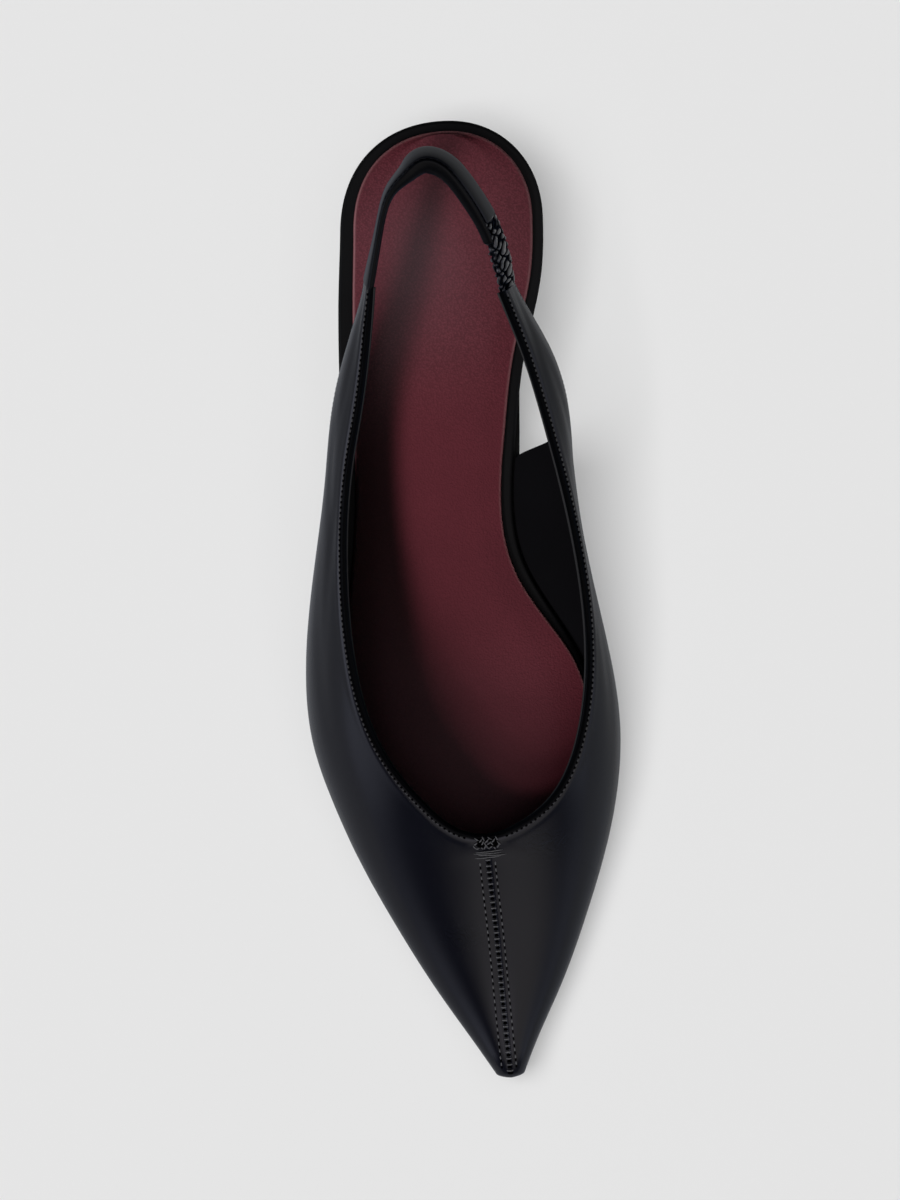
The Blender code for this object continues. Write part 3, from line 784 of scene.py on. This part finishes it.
def stitches(centre, along, up, length, thick, rise):
    """Patches of single stitches: each thread comes up out of the leather, arcs over and dives back in."""
    reach = np.linspace(-1, 1, STITCH_STOPS)[:, None, None]
    turn = np.linspace(0, 2 * np.pi, STITCH_SIDES, endpoint=False)[:, None]
    radius = thick / 2 * np.sqrt(1 - reach**4)
    across = unit(np.cross(up, along))
    local = (along[:, None, None] * reach * length / 2
             + across[:, None, None] * radius * np.cos(turn)
             + up[:, None, None] * (rise * (1 - reach**2) + radius * np.sin(turn)))
    return [Patch(grid, True) for grid in centre[:, None, None] + local]


def face_line(half, ribs, index):
    """Points and normals of the upper's outer face along a line that crosses the ribs at fractional rows."""
    return resample(outer_face, index)[half, ribs, 0], resample(normal, index)[half, ribs, 0]


def needle_holes(centre, along, up, pitch):
    """Patches of the holes between the stitches of a row, half a pitch on from each, painted near black as
    their shade.
    """
    return stitches(centre + along * pitch / 2, along, up, HOLE_LENGTH, HOLE_THICK, -HOLE_SINK)


topline_thread = thread_material("topline_thread", light=0.07, gloss=0.14)
# Near black for holes and dents: painted shade.
hole_shade = leather("needle_hole", (0.0012, 0.0012, 0.0014), spread=0.1, roughness=0.8, pebble=0.3,
                     relief=0.01, gloss=0.0)
topline_rows = crossing(from_topline, TOPLINE_ROW)
row_steps = np.linalg.norm(np.diff(last_face, axis=2, prepend=last_face[:, :, :1]), axis=-1)
rib_length = np.cumsum(row_steps, axis=2)
above_edge = rib_length[:, :, -1:] - rib_length
edge_rows = ROWS - 1 - crossing(above_edge[:, :, ::-1], ARM_ROW)
patches = []
holes = []
for half in range(2):
    line, up = face_line(half, slice(0, RIBS + 1), topline_rows)
    row = spaced(line, up, STITCH_PITCH, (ROW_LEAD, THROAT_CLEAR))
    patches += stitches(*row, STITCH_LENGTH, THREAD_THICK, STITCH_RISE)
    holes += needle_holes(*row, STITCH_PITCH)
    arm = int(np.argmax(edge_wrap[half, :, 0] > ARM_WRAP))
    line, up = face_line(half, slice(0, arm), edge_rows)
    centre, along, up = spaced(line, up, STITCH_PITCH, (ROW_LEAD, ARM_ROW_END))
    patches += stitches(centre - ARM_ROW_SINK * up, along, up,
                        STITCH_LENGTH, ARM_THREAD_THICK, STITCH_RISE / 2)
new_piece("topline_stitching", patches, topline_thread)

# Vamp seam: the two halves are closed edge to edge with a ladder of short stitches over the join.
# A row of stitching runs down each side of it and holds the seam allowance open.
LADDER_PITCH = 1.8
LADDER_WIDTH = 2.1
LADDER_THICK = 0.5
LADDER_LIFT = 0.05
LADDER_RISE = 0.28
LADDER_START = 6.6
LADDER_END = 3.2
LADDER_HOLE = 1.6
LADDER_HOLE_THICK = 1.0
LADDER_HOLE_SINK = 0.1
SEAM_ROWS = (1.9, 2.3)
SEAM_PITCH = 2.0
SEAM_START = 5.1
SEAM_END = 3.2
seam_thread = thread_material("seam_thread", light=0.15, gloss=0.3)
ridge_line = outer_face[0, RIBS:, 0]
ridge_up = normal[0, RIBS:, 0]
rungs, way, up = spaced(ridge_line, ridge_up, LADDER_PITCH, (LADDER_START, LADDER_END))
across = unit(np.cross(way, up))
patches = stitches(rungs + up * LADDER_LIFT, across, up, LADDER_WIDTH, LADDER_THICK, LADDER_RISE)
between = rungs + way * LADDER_PITCH / 2
holes += stitches(between, across, up, LADDER_HOLE, LADDER_HOLE_THICK, -LADDER_HOLE_SINK)
for half, distance in enumerate(SEAM_ROWS):
    ribs = slice(RIBS + 1, int(np.argmax(station[half, :, 0] > LENGTH - SEAM_END)))
    line, up = face_line(half, ribs, crossing(from_seam, distance))
    row = spaced(line, up, SEAM_PITCH, (SEAM_START, ROW_LEAD))
    patches += stitches(*row, STITCH_LENGTH, THREAD_THICK, STITCH_RISE)
    holes += needle_holes(*row, SEAM_PITCH)
new_piece("vamp_seam_stitching", patches, seam_thread)

# Bar tack: strands of thread laid side by side across the top of the seam, where the throat would tear first.
# Crossed stitches gather the leather between it and the topline, and each end of it pulls a hole.
TACK_DROP = 5.6
TACK_WIDTH = 8.2
TACK_STRANDS = 4
TACK_STEP = 0.62
TACK_THICK = 0.36
TACK_LIFT = 0.45
TACK_RISE = 0.4
TACK_SWAY = 0.7
TACK_SHIFT = 0.5
TACK_SLANT = 0.05
TACK_HOLE = 4.6
KNOT_DROP = 2.2
KNOT_WIDTH = 6.6
KNOT_STITCHES = 23
KNOT_LENGTH = 1.7
KNOT_THICK = 0.36
KNOT_RISE = 0.3
Hole = namedtuple("Hole", "length thick sink")
# Near black dents under the strands and the knot paint the shade between the threads.
UNDER_TACK = Hole(7.6, 2.4, 0.95)
TACK_END = Hole(1.8, 1.5, 0.55)
UNDER_KNOT = Hole(6.6, 4.0, 1.75)


def seam_spot(drop):
    """Point on the vamp seam a distance below the throat, with the ways along the seam, across it and up."""
    centre, way, up = (part[0] for part in spaced(ridge_line, ridge_up, 0.1, (drop, 0)))
    return centre, way, unit(np.cross(way, up)), up


def dent(centre, along, up, hole):
    """Patches of one dent in the leather, painted near black as its shade."""
    return stitches(centre[None], along[None], up[None], hole.length, hole.thick, -hole.sink)


centre, way, across, up = seam_spot(TACK_DROP)
count = np.arange(TACK_STRANDS)[:, None]
strands = centre + way * (count - (TACK_STRANDS - 1) / 2) * TACK_STEP
strands = strands + across * (TACK_SWAY * np.sin(2.4 * count) - TACK_SHIFT) + up * TACK_LIFT
lie = unit(across + way * TACK_SLANT * np.cos(1.9 * count))
patches = stitches(strands, lie, np.broadcast_to(up, lie.shape), TACK_WIDTH, TACK_THICK, TACK_RISE)
holes += dent(centre, across, up, UNDER_TACK)
for half, side in enumerate(SIDES):
    away = np.linalg.norm(outer_face[half] - centre - across * TACK_HOLE * side, axis=-1)
    spot = np.unravel_index(np.argmin(away), away.shape)
    holes += dent(outer_face[half][spot], way, normal[half][spot], TACK_END)
centre, way, across, up = seam_spot(KNOT_DROP)
count = np.arange(KNOT_STITCHES)[:, None]
spots = centre + across * (count / (KNOT_STITCHES - 1) - 0.5) * KNOT_WIDTH
spots = spots + way * (1.5 * np.sin(2.1 * count) + 0.4 * np.sin(5.3 * count))
lie = unit(across * (np.where(count % 2, 0.8, -0.8) + 0.4 * np.sin(3.7 * count)) + way)
patches += stitches(spots, lie, np.broadcast_to(up, lie.shape), KNOT_LENGTH, KNOT_THICK, KNOT_RISE)
holes += dent(centre, across, up, UNDER_KNOT)
new_piece("throat_bar_tack", patches, seam_thread)
new_piece("needle_holes", holes, hole_shade)

# Sling strap: a padded tube of the upper's leather that runs from the outer quarter's arm round the heel.
# Its cover is closed along the upper edge, where a line of stitching sinks into the seam.
STRAP_POWER = 2.6
ELASTIC_LENGTH = 18.0
STRAP_STOPS = 220
STRAP_POINTS = 56
STRAP_SEAM = np.radians(64)
STRAP_GROOVE = 0.075
GROOVE_TURN = 0.1
STRAP_END = 0.9
STRAP_END_SIZE = 0.72
STRAP_PAD = 0.55
PAD_FROM = 2.4
PAD_OVER = 1.2
STRAP_APEX = 5
APEX_PAD = 0.6
APEX_REACH = 7.0
ARM_SPREAD = 0.32
STRAP_TUCK = 0.6
STRAP_TAB = 5.5
INNER_FOOT = np.radians(280)
STRAP_PITCH = 1.8
STRAP_STITCH = 1.2
STRAP_THREAD_THICK = 0.3
STRAP_THREAD_SINK = 0.03
STRAP_SEWN_FROM = 22.0

Strap = namedtuple("Strap", "station offset height lean width thick")
STRAP = (
    Strap(45.7, -21.7, 72.6, 8.0, 11.2, 2.3),
    Strap(36.0, -19.5, 76.2, 4.0, 10.8, 2.4),
    Strap(28.0, -17.4, 79.2, 4.0, 10.6, 2.4),
    Strap(21.6, -14.4, 81.6, 9.0, 10.6, 2.9),
    Strap(17.4, -9.8, 83.6, 17.0, 10.6, 3.5),
    Strap(14.8, -4.9, 84.6, 23.0, 10.6, 3.9),
    Strap(16.3, -1.1, 84.6, 23.0, 10.6, 4.0),
    Strap(19.8, 2.0, 84.0, 23.0, 10.6, 4.0),
    Strap(24.9, 5.2, 82.6, 23.0, 10.6, 4.0),
    Strap(31.6, 8.7, 80.6, 23.0, 10.6, 3.8),
    Strap(40.0, 11.4, 77.9, 23.0, 10.4, 3.6),
    Strap(49.3, 12.6, 75.0, 22.0, 10.4, 2.8),
)
strap_path = place(column(STRAP, "station"), column(STRAP, "offset"), column(STRAP, "height"))
strap_run = np.concatenate([[0], np.cumsum(np.linalg.norm(np.diff(strap_path, axis=0), axis=1))])
strap_edge = [spline(strap_run, strap_path[:, k]) for k in range(3)]
strap_joint = strap_run[-1] - ELASTIC_LENGTH


def sling_point(at, turn, size, slim):
    """Points round the sling: a rounded box section hung from its top edge, leaning in, at each run and turn.

    size scales the section, and slim is taken off its width and thickness. The inner side is padded out.
    """
    along = unit(np.stack([curve(at + 0.1) - curve(at - 0.1) for curve in strap_edge], axis=-1))
    out = unit(np.cross((0, 0, 1), along))
    lean = np.radians(spline(strap_run, column(STRAP, "lean"))(at))[..., None]
    up = np.cross(along, out) * np.cos(lean) - out * np.sin(lean)
    face = np.cross(up, along)
    width = spline(strap_run, column(STRAP, "width"))(at)
    deep = spline(strap_run, column(STRAP, "thick"))(at)
    middle = np.stack([curve(at) for curve in strap_edge], axis=-1) - up * width[..., None] / 2
    across, rise = (np.sign(wave) * np.abs(wave)**(2 / STRAP_POWER) * size
                    for wave in (np.cos(turn), np.sin(turn)))
    pad = STRAP_PAD * smooth((deep - PAD_FROM) / PAD_OVER)
    pad = pad + APEX_PAD * bell(at - strap_run[STRAP_APEX], APEX_REACH)
    foot = ARM_SPREAD * (1 - smooth(at / ARM_REACH))
    across = across * (1 + np.where(across < 0, pad, foot))
    out_by = across * (deep - slim) / 2
    up_by = rise * (width - slim) / 2
    return middle + face * out_by[..., None] + up * up_by[..., None]


def inner_side(turn):
    """1 on the sling's inner face, past the seam on its upper edge, and 0 on its outer face."""
    return smooth((turn - STRAP_SEAM) / 0.12) * (1 - smooth((turn - INNER_FOOT) / 0.3))


turn = np.linspace(0, 2 * np.pi, STRAP_POINTS, endpoint=False)[None]
share = np.concatenate([[0], np.linspace(0, 1, STRAP_STOPS), [1]])[:, None]
strap_end = strap_joint + STRAP_TAB * inner_side(turn)
run = -STRAP_TUCK + (strap_end + STRAP_TUCK) * share
size = STRAP_END_SIZE + (1 - STRAP_END_SIZE) * round_end(strap_end - run, STRAP_END, 2)
size[[0, -1]] = 0
run[-1] = strap_joint + STRAP_TAB / 2
groove = 1 - STRAP_GROOVE * bell(turn - STRAP_SEAM, GROOVE_TURN)
run, turn = np.broadcast_arrays(run, turn)
strap_leather = leather("strap_leather", (0.0042, 0.0044, 0.0066), spread=0.2, roughness=0.3, pebble=0.45,
                        relief=0.006, gloss=0.24, sheen=0.05, lining_and_painted_light=(0.0022, 0.0022, 0.0026),
                        lining_and_painted_light_mark="inner", polished=0.1, polish_mark="inner")
points = with_marks(sling_point(run, turn, size * groove, 0.0), inner_side(turn))
strap = new_piece("sling_strap_padded", [Patch(points, True)], strap_leather,
                  ["sling_strap"], ["inner"])

sewn_run = np.linspace(STRAP_SEWN_FROM, strap_joint - 1, STRAP_STOPS)
seam_line, seam_core = (sling_point(sewn_run, STRAP_SEAM, size, 0.0)
                        for size in (1 - STRAP_GROOVE, 0.5))
row = spaced(seam_line, unit(seam_line - seam_core), STRAP_PITCH, (0.0, 0.0))
sewn_seam = stitches(*row, STRAP_STITCH, STRAP_THREAD_THICK, -STRAP_THREAD_SINK)
# The strap's stitches take the near black of the holes: painted shade in the sunken seam.
new_piece("strap_stitching", sewn_seam, hole_shade)

# Elastic gore: a tube of thin leather gathered over elastic by crossing rows of thread, which leave puffs.
# It is sewn to the strap under a tab, runs on into the inner quarter's arm and lets the sling give.
ELASTIC_SLIM = 0.9
ELASTIC_DIAMONDS = 10
ELASTIC_CROSSINGS = 2.5
ELASTIC_PUFF = 0.8
PUFF_MIDDLE = 0.6
PUFF_FULLNESS = 0.55
ELASTIC_LAP = 1.5
ELASTIC_STOPS = 260
ELASTIC_POINTS = 112
share = np.concatenate([[0], np.linspace(0, 1, ELASTIC_STOPS), [1]])[:, None]
run = strap_joint - ELASTIC_LAP + (ELASTIC_LENGTH + 2 * ELASTIC_LAP) * share
turn = np.linspace(0, 2 * np.pi, ELASTIC_POINTS, endpoint=False)[None]
gather = np.pi * ELASTIC_DIAMONDS * share
lean = ELASTIC_CROSSINGS * (turn - STRAP_SEAM)
wander = 0.4 * np.sin(3 * turn + 0.7 * gather) + 0.35 * np.sin(turn - 1.3 * gather)
threads = np.sin(gather - lean + wander), np.sin(0.45 * gather + lean + 1.2 * wander + 0.7)
puff = np.abs(threads[0] * threads[1])**PUFF_FULLNESS
size = 1 + 0 * puff
size[[0, -1]] = 0
valley = 1 - smooth(2.6 * puff - 1.3)
run, turn = np.broadcast_arrays(run, turn)
points = sling_point(run, turn, size, ELASTIC_SLIM - 2 * ELASTIC_PUFF * (puff - PUFF_MIDDLE))
# The valleys between the puffs are painted near black with no gloss: painted shade.
gathered_leather = leather("gathered_leather", (0.016, 0.0162, 0.02), spread=0.7, roughness=0.28, pebble=0.35,
                           relief=0.01, gloss=0.8, sheen=0.08, drift=420.0, lining_and_painted_light=(0.0012, 0.0012, 0.0014),
                           lining_and_painted_light_mark="valley", polished=0.0, polish_mark="valley")
new_piece("elastic_gore_gathered", [Patch(with_marks(points, valley), True)],
          gathered_leather, ["elastic_gore"], ["valley"])

# Outsole: thin black sole leather from the toe to the heel breast, with a narrow welt round the vamp.
# It is cemented to the board and the lasted upper, and its lower edge is trimmed round.
OUTSOLE_END = 261.8
OUTSOLE_EDGE = 0.6
OUTSOLE_TOE_ROUND = 2.6


def cut(plan, back, front):
    """The plan cut straight across at two stations."""
    return np.stack([np.clip(plan[:, 0], back, front), plan[:, 1]], axis=-1)


def tread(plan, base, thick, edge, back):
    """Patches of a slab on a base height, cut at its back, its lower edge rounded by a quarter circle."""
    rings = []
    for turn in np.linspace(0, np.pi / 2, EDGE_STEPS):
        ring = cut(inset(plan, edge * (1 - np.sin(turn))), back, LENGTH)
        rings.append(layer(ring, lambda at: base(at) + edge * (1 - np.cos(turn))))
    return stack(rings + [layer(plan, lambda at: base(at) + thick)])


welt = spline(sole_station, column(SOLE, "welt"))
plan = outline(HEEL_BREAST + GAP, OUTSOLE_END, OUTSOLE_TOE_ROUND)
plan = cut(inset(plan, -welt(plan[:, 0])), HEEL_BREAST + GAP, LENGTH)
sole_leather = leather("sole_leather", (0.009, 0.009, 0.0092), spread=0.3, roughness=0.5, pebble=0.8,
                       relief=0.02, gloss=0.12)
sole_patches = tread(plan, sole_height, OUTSOLE_THICK, OUTSOLE_EDGE, HEEL_BREAST + GAP)
new_piece("outsole_leather", sole_patches, sole_leather, ["outsole"])

# Heel: a low moulded block covered in the upper's leather, flat at the breast, that draws in to a small foot.
# It is fixed from inside, through the board, and carries the seat of the shoe.
TOP_PIECE_THICK = 5.0
HEEL_INSET = 1.2
HEEL_FOOT_WIDTH = 0.46
HEEL_FOOT_LENGTH = 0.48
HEEL_FOOT_STATION = 21.0
HEEL_FLARE = 2.2
HEEL_LEVELS = 40
seat_plan = cut(inset(outline(SEAT_BACK, HEEL_BREAST), HEEL_INSET), 0, HEEL_BREAST)
seat_top = board_height(seat_plan[:, 0]) - GAP
heel_foot = TOP_PIECE_THICK + GAP
rings = []
for share in np.linspace(0, 1, HEEL_LEVELS):
    flare = share**HEEL_FLARE
    wide = HEEL_FOOT_WIDTH + (1 - HEEL_FOOT_WIDTH) * flare
    long = HEEL_FOOT_LENGTH + (1 - HEEL_FOOT_LENGTH) * flare
    middle = HEEL_FOOT_STATION + (HEEL_BREAST / 2 - HEEL_FOOT_STATION) * flare
    ring_station = middle + (seat_plan[:, 0] - HEEL_BREAST / 2) * long
    rings.append(place(ring_station, seat_plan[:, 1] * wide, heel_foot + (seat_top - heel_foot) * share))
heel_leather = leather("heel_leather", (0.0042, 0.0044, 0.0066), spread=0.2, roughness=0.3, pebble=0.45,
                       relief=0.006, gloss=0.3, sheen=0.06)
new_piece("heel_covered", stack(rings), heel_leather, ["heel"])

# Top piece: the rubber lift under the foot of the heel, which it follows in outline.
# It is pinned on, lies flat on the floor and is the part that is renewed when it wears.
TOP_PIECE_EDGE = 0.5
lift = np.stack([HEEL_FOOT_STATION + (seat_plan[:, 0] - HEEL_BREAST / 2) * HEEL_FOOT_LENGTH,
                 seat_plan[:, 1] * HEEL_FOOT_WIDTH], axis=-1)
top_piece_rubber = leather("top_piece_rubber", (0.008, 0.008, 0.008), spread=0.15, roughness=0.7, pebble=0.3,
                           relief=0.02, gloss=0.08)
lift_patches = tread(lift, np.zeros_like, TOP_PIECE_THICK, TOP_PIECE_EDGE, 0)
new_piece("heel_top_piece_rubber", lift_patches, top_piece_rubber, ["heel_top_piece"])

# Sock: a thin foam pad covered in burgundy leather with a fine pebbled grain, whose pebbles carry painted
# glints, most at the heel.
# It is cemented on the board last of all, carries a painted highlight along its rounded edge and shines a
# little at seat and ball.
SOCK_THICK = 2.0
SOCK_END = 248.0
SOCK_EDGE = 0.9
SOCK_TOE_ROUND = 8.0
SOCK_CROWN = 0.7
CROWN_STEPS = 10
CROWN_PULL = 0.97
Polish = namedtuple("Polish", "station offset share")
POLISHED = (Polish(36.0, -9.0, 1.0), Polish(170.0, 6.0, 0.15))
POLISH_REACH = 26.0
GLINT_LEAST = 0.25
GLINT_END = 95.0
GLINT_FADE = 45.0

# Widths of the board's rim beside the sock.
Rim = namedtuple("Rim", "station lateral medial")
RIM = (
    Rim(0.0, 3.0, 3.0),
    Rim(25.0, 3.6, 2.9),
    Rim(60.0, 4.0, 3.0),
    Rim(125.0, 4.0, 3.1),
    Rim(153.0, 4.0, 1.7),
    Rim(180.0, 4.0, 2.6),
    Rim(255.0, 4.0, 4.0),
)
plan = outline(SEAT_BACK, SOCK_END, SOCK_TOE_ROUND)
rim_width = [steady(column(RIM, "station"), column(RIM, side))(half)
             for side, half in zip(("lateral", "medial"), plan[:, 0].reshape(2, -1))]
plan = inset(plan, np.concatenate(rim_width))
sock_bottom = BOARD_THICK + GAP


def sock_ring(drawn_in, pull, rise, edge):
    """One ring of the pad: the plan drawn in, pulled towards its middle line and raised over the board."""
    ring = inset(plan, drawn_in)
    middle = (ring[:, 1] + ring[::-1, 1]) / 2
    ring = np.stack([ring[:, 0], ring[:, 1] + (middle - ring[:, 1]) * pull], axis=-1)
    points = layer(ring, lambda at: board_height(at) + sock_bottom + rise)
    polish = 0
    for spot in POLISHED:
        away = np.hypot(ring[:, 0] - spot.station, ring[:, 1] - spot.offset)
        polish = polish + spot.share * bell(away, POLISH_REACH)
    # Painted glints fade from the heel towards the toe.
    glint_share = GLINT_LEAST + (1 - GLINT_LEAST) * smooth((GLINT_END - ring[:, 0]) / GLINT_FADE)
    return with_marks(points, edge, polish, glint_share)


rings = [sock_ring(0, 0, 0, 0)]
for turn in np.linspace(0, np.pi / 2, EDGE_STEPS):
    rise = SOCK_THICK - SOCK_EDGE * (1 - np.sin(turn))
    rings.append(sock_ring(SOCK_EDGE * (1 - np.cos(turn)), 0, rise, np.sin(2 * turn)**2))
for share in np.linspace(0, 1, CROWN_STEPS)[1:]:
    rings.append(sock_ring(SOCK_EDGE, CROWN_PULL * share, SOCK_THICK + SOCK_CROWN * smooth(3 * share), 0))
# The edge mark paints a light highlight round the sock's rounded edge.
sock_leather = leather("sock_leather", (0.128, 0.025, 0.035), spread=0.26, roughness=0.42, pebble=0.5,
                       relief=0.13, gloss=0.03, specular=0.02, drift=28.0, lining_and_painted_light=(0.3, 0.12, 0.13),
                       lining_and_painted_light_mark="edge", polished=0.55, polish_mark="polish",
                       painted_glint=0.24, painted_glint_mark="glint_share")
sock = new_piece("sock_padded", stack(rings), sock_leather, ["sock_lining"],
                 ["edge", "polish", "glint_share"])

# Floor: one plain pale sheet of paper under the shoe, matte and without an edge in the picture.
# It only receives the shadow, and isn't part of the shoe.
FLOOR_SIZE = 12.0
bpy.ops.mesh.primitive_plane_add(size=FLOOR_SIZE)
floor = bpy.context.object
floor.name = "floor"
paper = bpy.data.materials.new("pale_paper")
paper.use_nodes = True
matte = paper.node_tree.nodes["Principled BSDF"].inputs
matte["Base Color"].default_value = (0.8, 0.8, 0.8, 1)
matte["Roughness"].default_value = 0.9
matte["Specular IOR Level"].default_value = 0.1
floor.data.materials.append(paper)

# Studio: a dark room with pale panels overhead and on both sides, seen only in the gloss.
# A row of four soft keys falls from high to low on the left and a faint fill opens their shade.
# Two more lamps light the paper alone.
HORIZON_LOW = 0.15
HORIZON_HIGH = 0.55
HORIZON_BRIGHT = 0.12
ROOM_BRIGHT = 0.02
LAMP_DISTANCE = 6.0
WARM = (1.0, 0.95, 0.92)
COOL = (0.85, 0.88, 1.03)
VIOLET = (0.94, 0.9, 1.15)
Panel = namedtuple("Panel", "azimuth elevation core reach bright tint")
PANELS = (
    Panel(-60, 62, 14, 48, 1.6, WARM),
    Panel(190, 15, 8, 36, 1.9, COOL),
    Panel(190, 24, 10, 18, 2.5, COOL),
    Panel(-5, 14, 10, 42, 1.5, COOL),
    Panel(270, 84, 8, 24, 1.0, VIOLET),
)
Lamp = namedtuple("Lamp", "name azimuth elevation size power shadow", defaults=(True,))
SHOE_LAMPS = (
    Lamp("key_highest", 216, 56, 0.9, 60),
    Lamp("key_high", 230, 46, 0.9, 60),
    Lamp("key_low", 237, 39, 0.9, 64),
    Lamp("key_lowest", 243, 31, 0.9, 64),
    Lamp("fill", 60, 84, 6.0, 0.6),
)
PAPER_LAMPS = (
    Lamp("paper_key", 178, 76, 2.8, 165),
    Lamp("paper_fill", 0, 90, 6.0, 262, False),
)
world = bpy.data.worlds.new("studio")
bpy.context.scene.world = world
world.use_nodes = True
world.cycles_visibility.diffuse = False
sky = world.node_tree


def aim(azimuth, elevation):
    """Unit vector towards an azimuth, from +X towards +Y, and an elevation, in degrees."""
    turn, lift = np.radians([azimuth, elevation])
    return np.array([np.cos(turn) * np.cos(lift), np.sin(turn) * np.cos(lift), np.sin(lift)])


direction = shader_node(sky, "TexCoord").outputs["Generated"]
rise = shader_node(sky, "SeparateXYZ", {"Vector": direction}).outputs["Z"]
horizon = shader_node(sky, "MapRange", {
    "Value": rise, "From Min": HORIZON_LOW, "From Max": HORIZON_HIGH,
    "To Min": HORIZON_BRIGHT, "To Max": ROOM_BRIGHT}, interpolation_type="SMOOTHSTEP")
glow = shader_node(sky, "VectorMath", {0: COOL, 3: horizon.outputs["Result"]}, operation="SCALE").outputs[0]
for panel in PANELS:
    facing = shader_node(sky, "VectorMath", {0: direction, 1: aim(panel.azimuth, panel.elevation)},
                         operation="DOT_PRODUCT")
    far, near = np.cos(np.radians([panel.reach, panel.core]))
    lit = shader_node(sky, "MapRange", {
        "Value": facing.outputs["Value"], "From Min": far, "From Max": near, "To Max": panel.bright},
        interpolation_type="SMOOTHSTEP")
    tinted = shader_node(sky, "VectorMath", {0: panel.tint, 3: lit.outputs["Result"]}, operation="SCALE")
    glow = shader_node(sky, "VectorMath", {0: glow, 1: tinted.outputs[0]}).outputs[0]
sky.links.new(glow, sky.nodes["Background"].inputs["Color"])


def soft_light(lamp, receivers):
    """A square light that faces the shoe from a distance, unseen in the gloss, for chosen objects alone."""
    light = bpy.data.lights.new(lamp.name, "AREA")
    light.size = lamp.size
    light.energy = lamp.power
    light.use_shadow = lamp.shadow
    hung = bpy.data.objects.new(lamp.name, light)
    hung.location = LAMP_DISTANCE * aim(lamp.azimuth, lamp.elevation)
    hung.rotation_euler = (0, np.radians(90 - lamp.elevation), np.radians(lamp.azimuth))
    hung.visible_camera = False
    hung.visible_glossy = False
    bpy.context.scene.collection.objects.link(hung)
    lit = bpy.data.collections.new(lamp.name + "_lights")
    for receiver in receivers:
        lit.objects.link(receiver)
    hung.light_linking.receiver_collection = lit


shoe = [piece for piece in bpy.context.scene.objects if piece.type == "MESH" and piece != floor]
for lamps, receivers in ((SHOE_LAMPS, shoe), (PAPER_LAMPS, [floor])):
    for lamp in lamps:
        soft_light(lamp, receivers)

# Camera: straight above the shoe on a long lens, so that the sides hardly show.
# It is turned by the small angle at which the shoe lies in the picture.
CAMERA_HEIGHT = 1.6
CAMERA_STATION = 130.5
CAMERA_OFFSET = -7.0
CAMERA_TURN = -4.27
CAMERA_LENS = 172.0
camera = bpy.data.objects.new("camera", bpy.data.cameras.new("camera"))
camera.data.lens = CAMERA_LENS
camera.location = place(CAMERA_STATION, CAMERA_OFFSET, 0) * MM + np.array([0, 0, CAMERA_HEIGHT])
camera.rotation_euler = (0, 0, np.radians(CAMERA_TURN))
bpy.context.scene.collection.objects.link(camera)
bpy.context.scene.camera = camera
bpy.context.scene.view_settings.view_transform = "Standard"
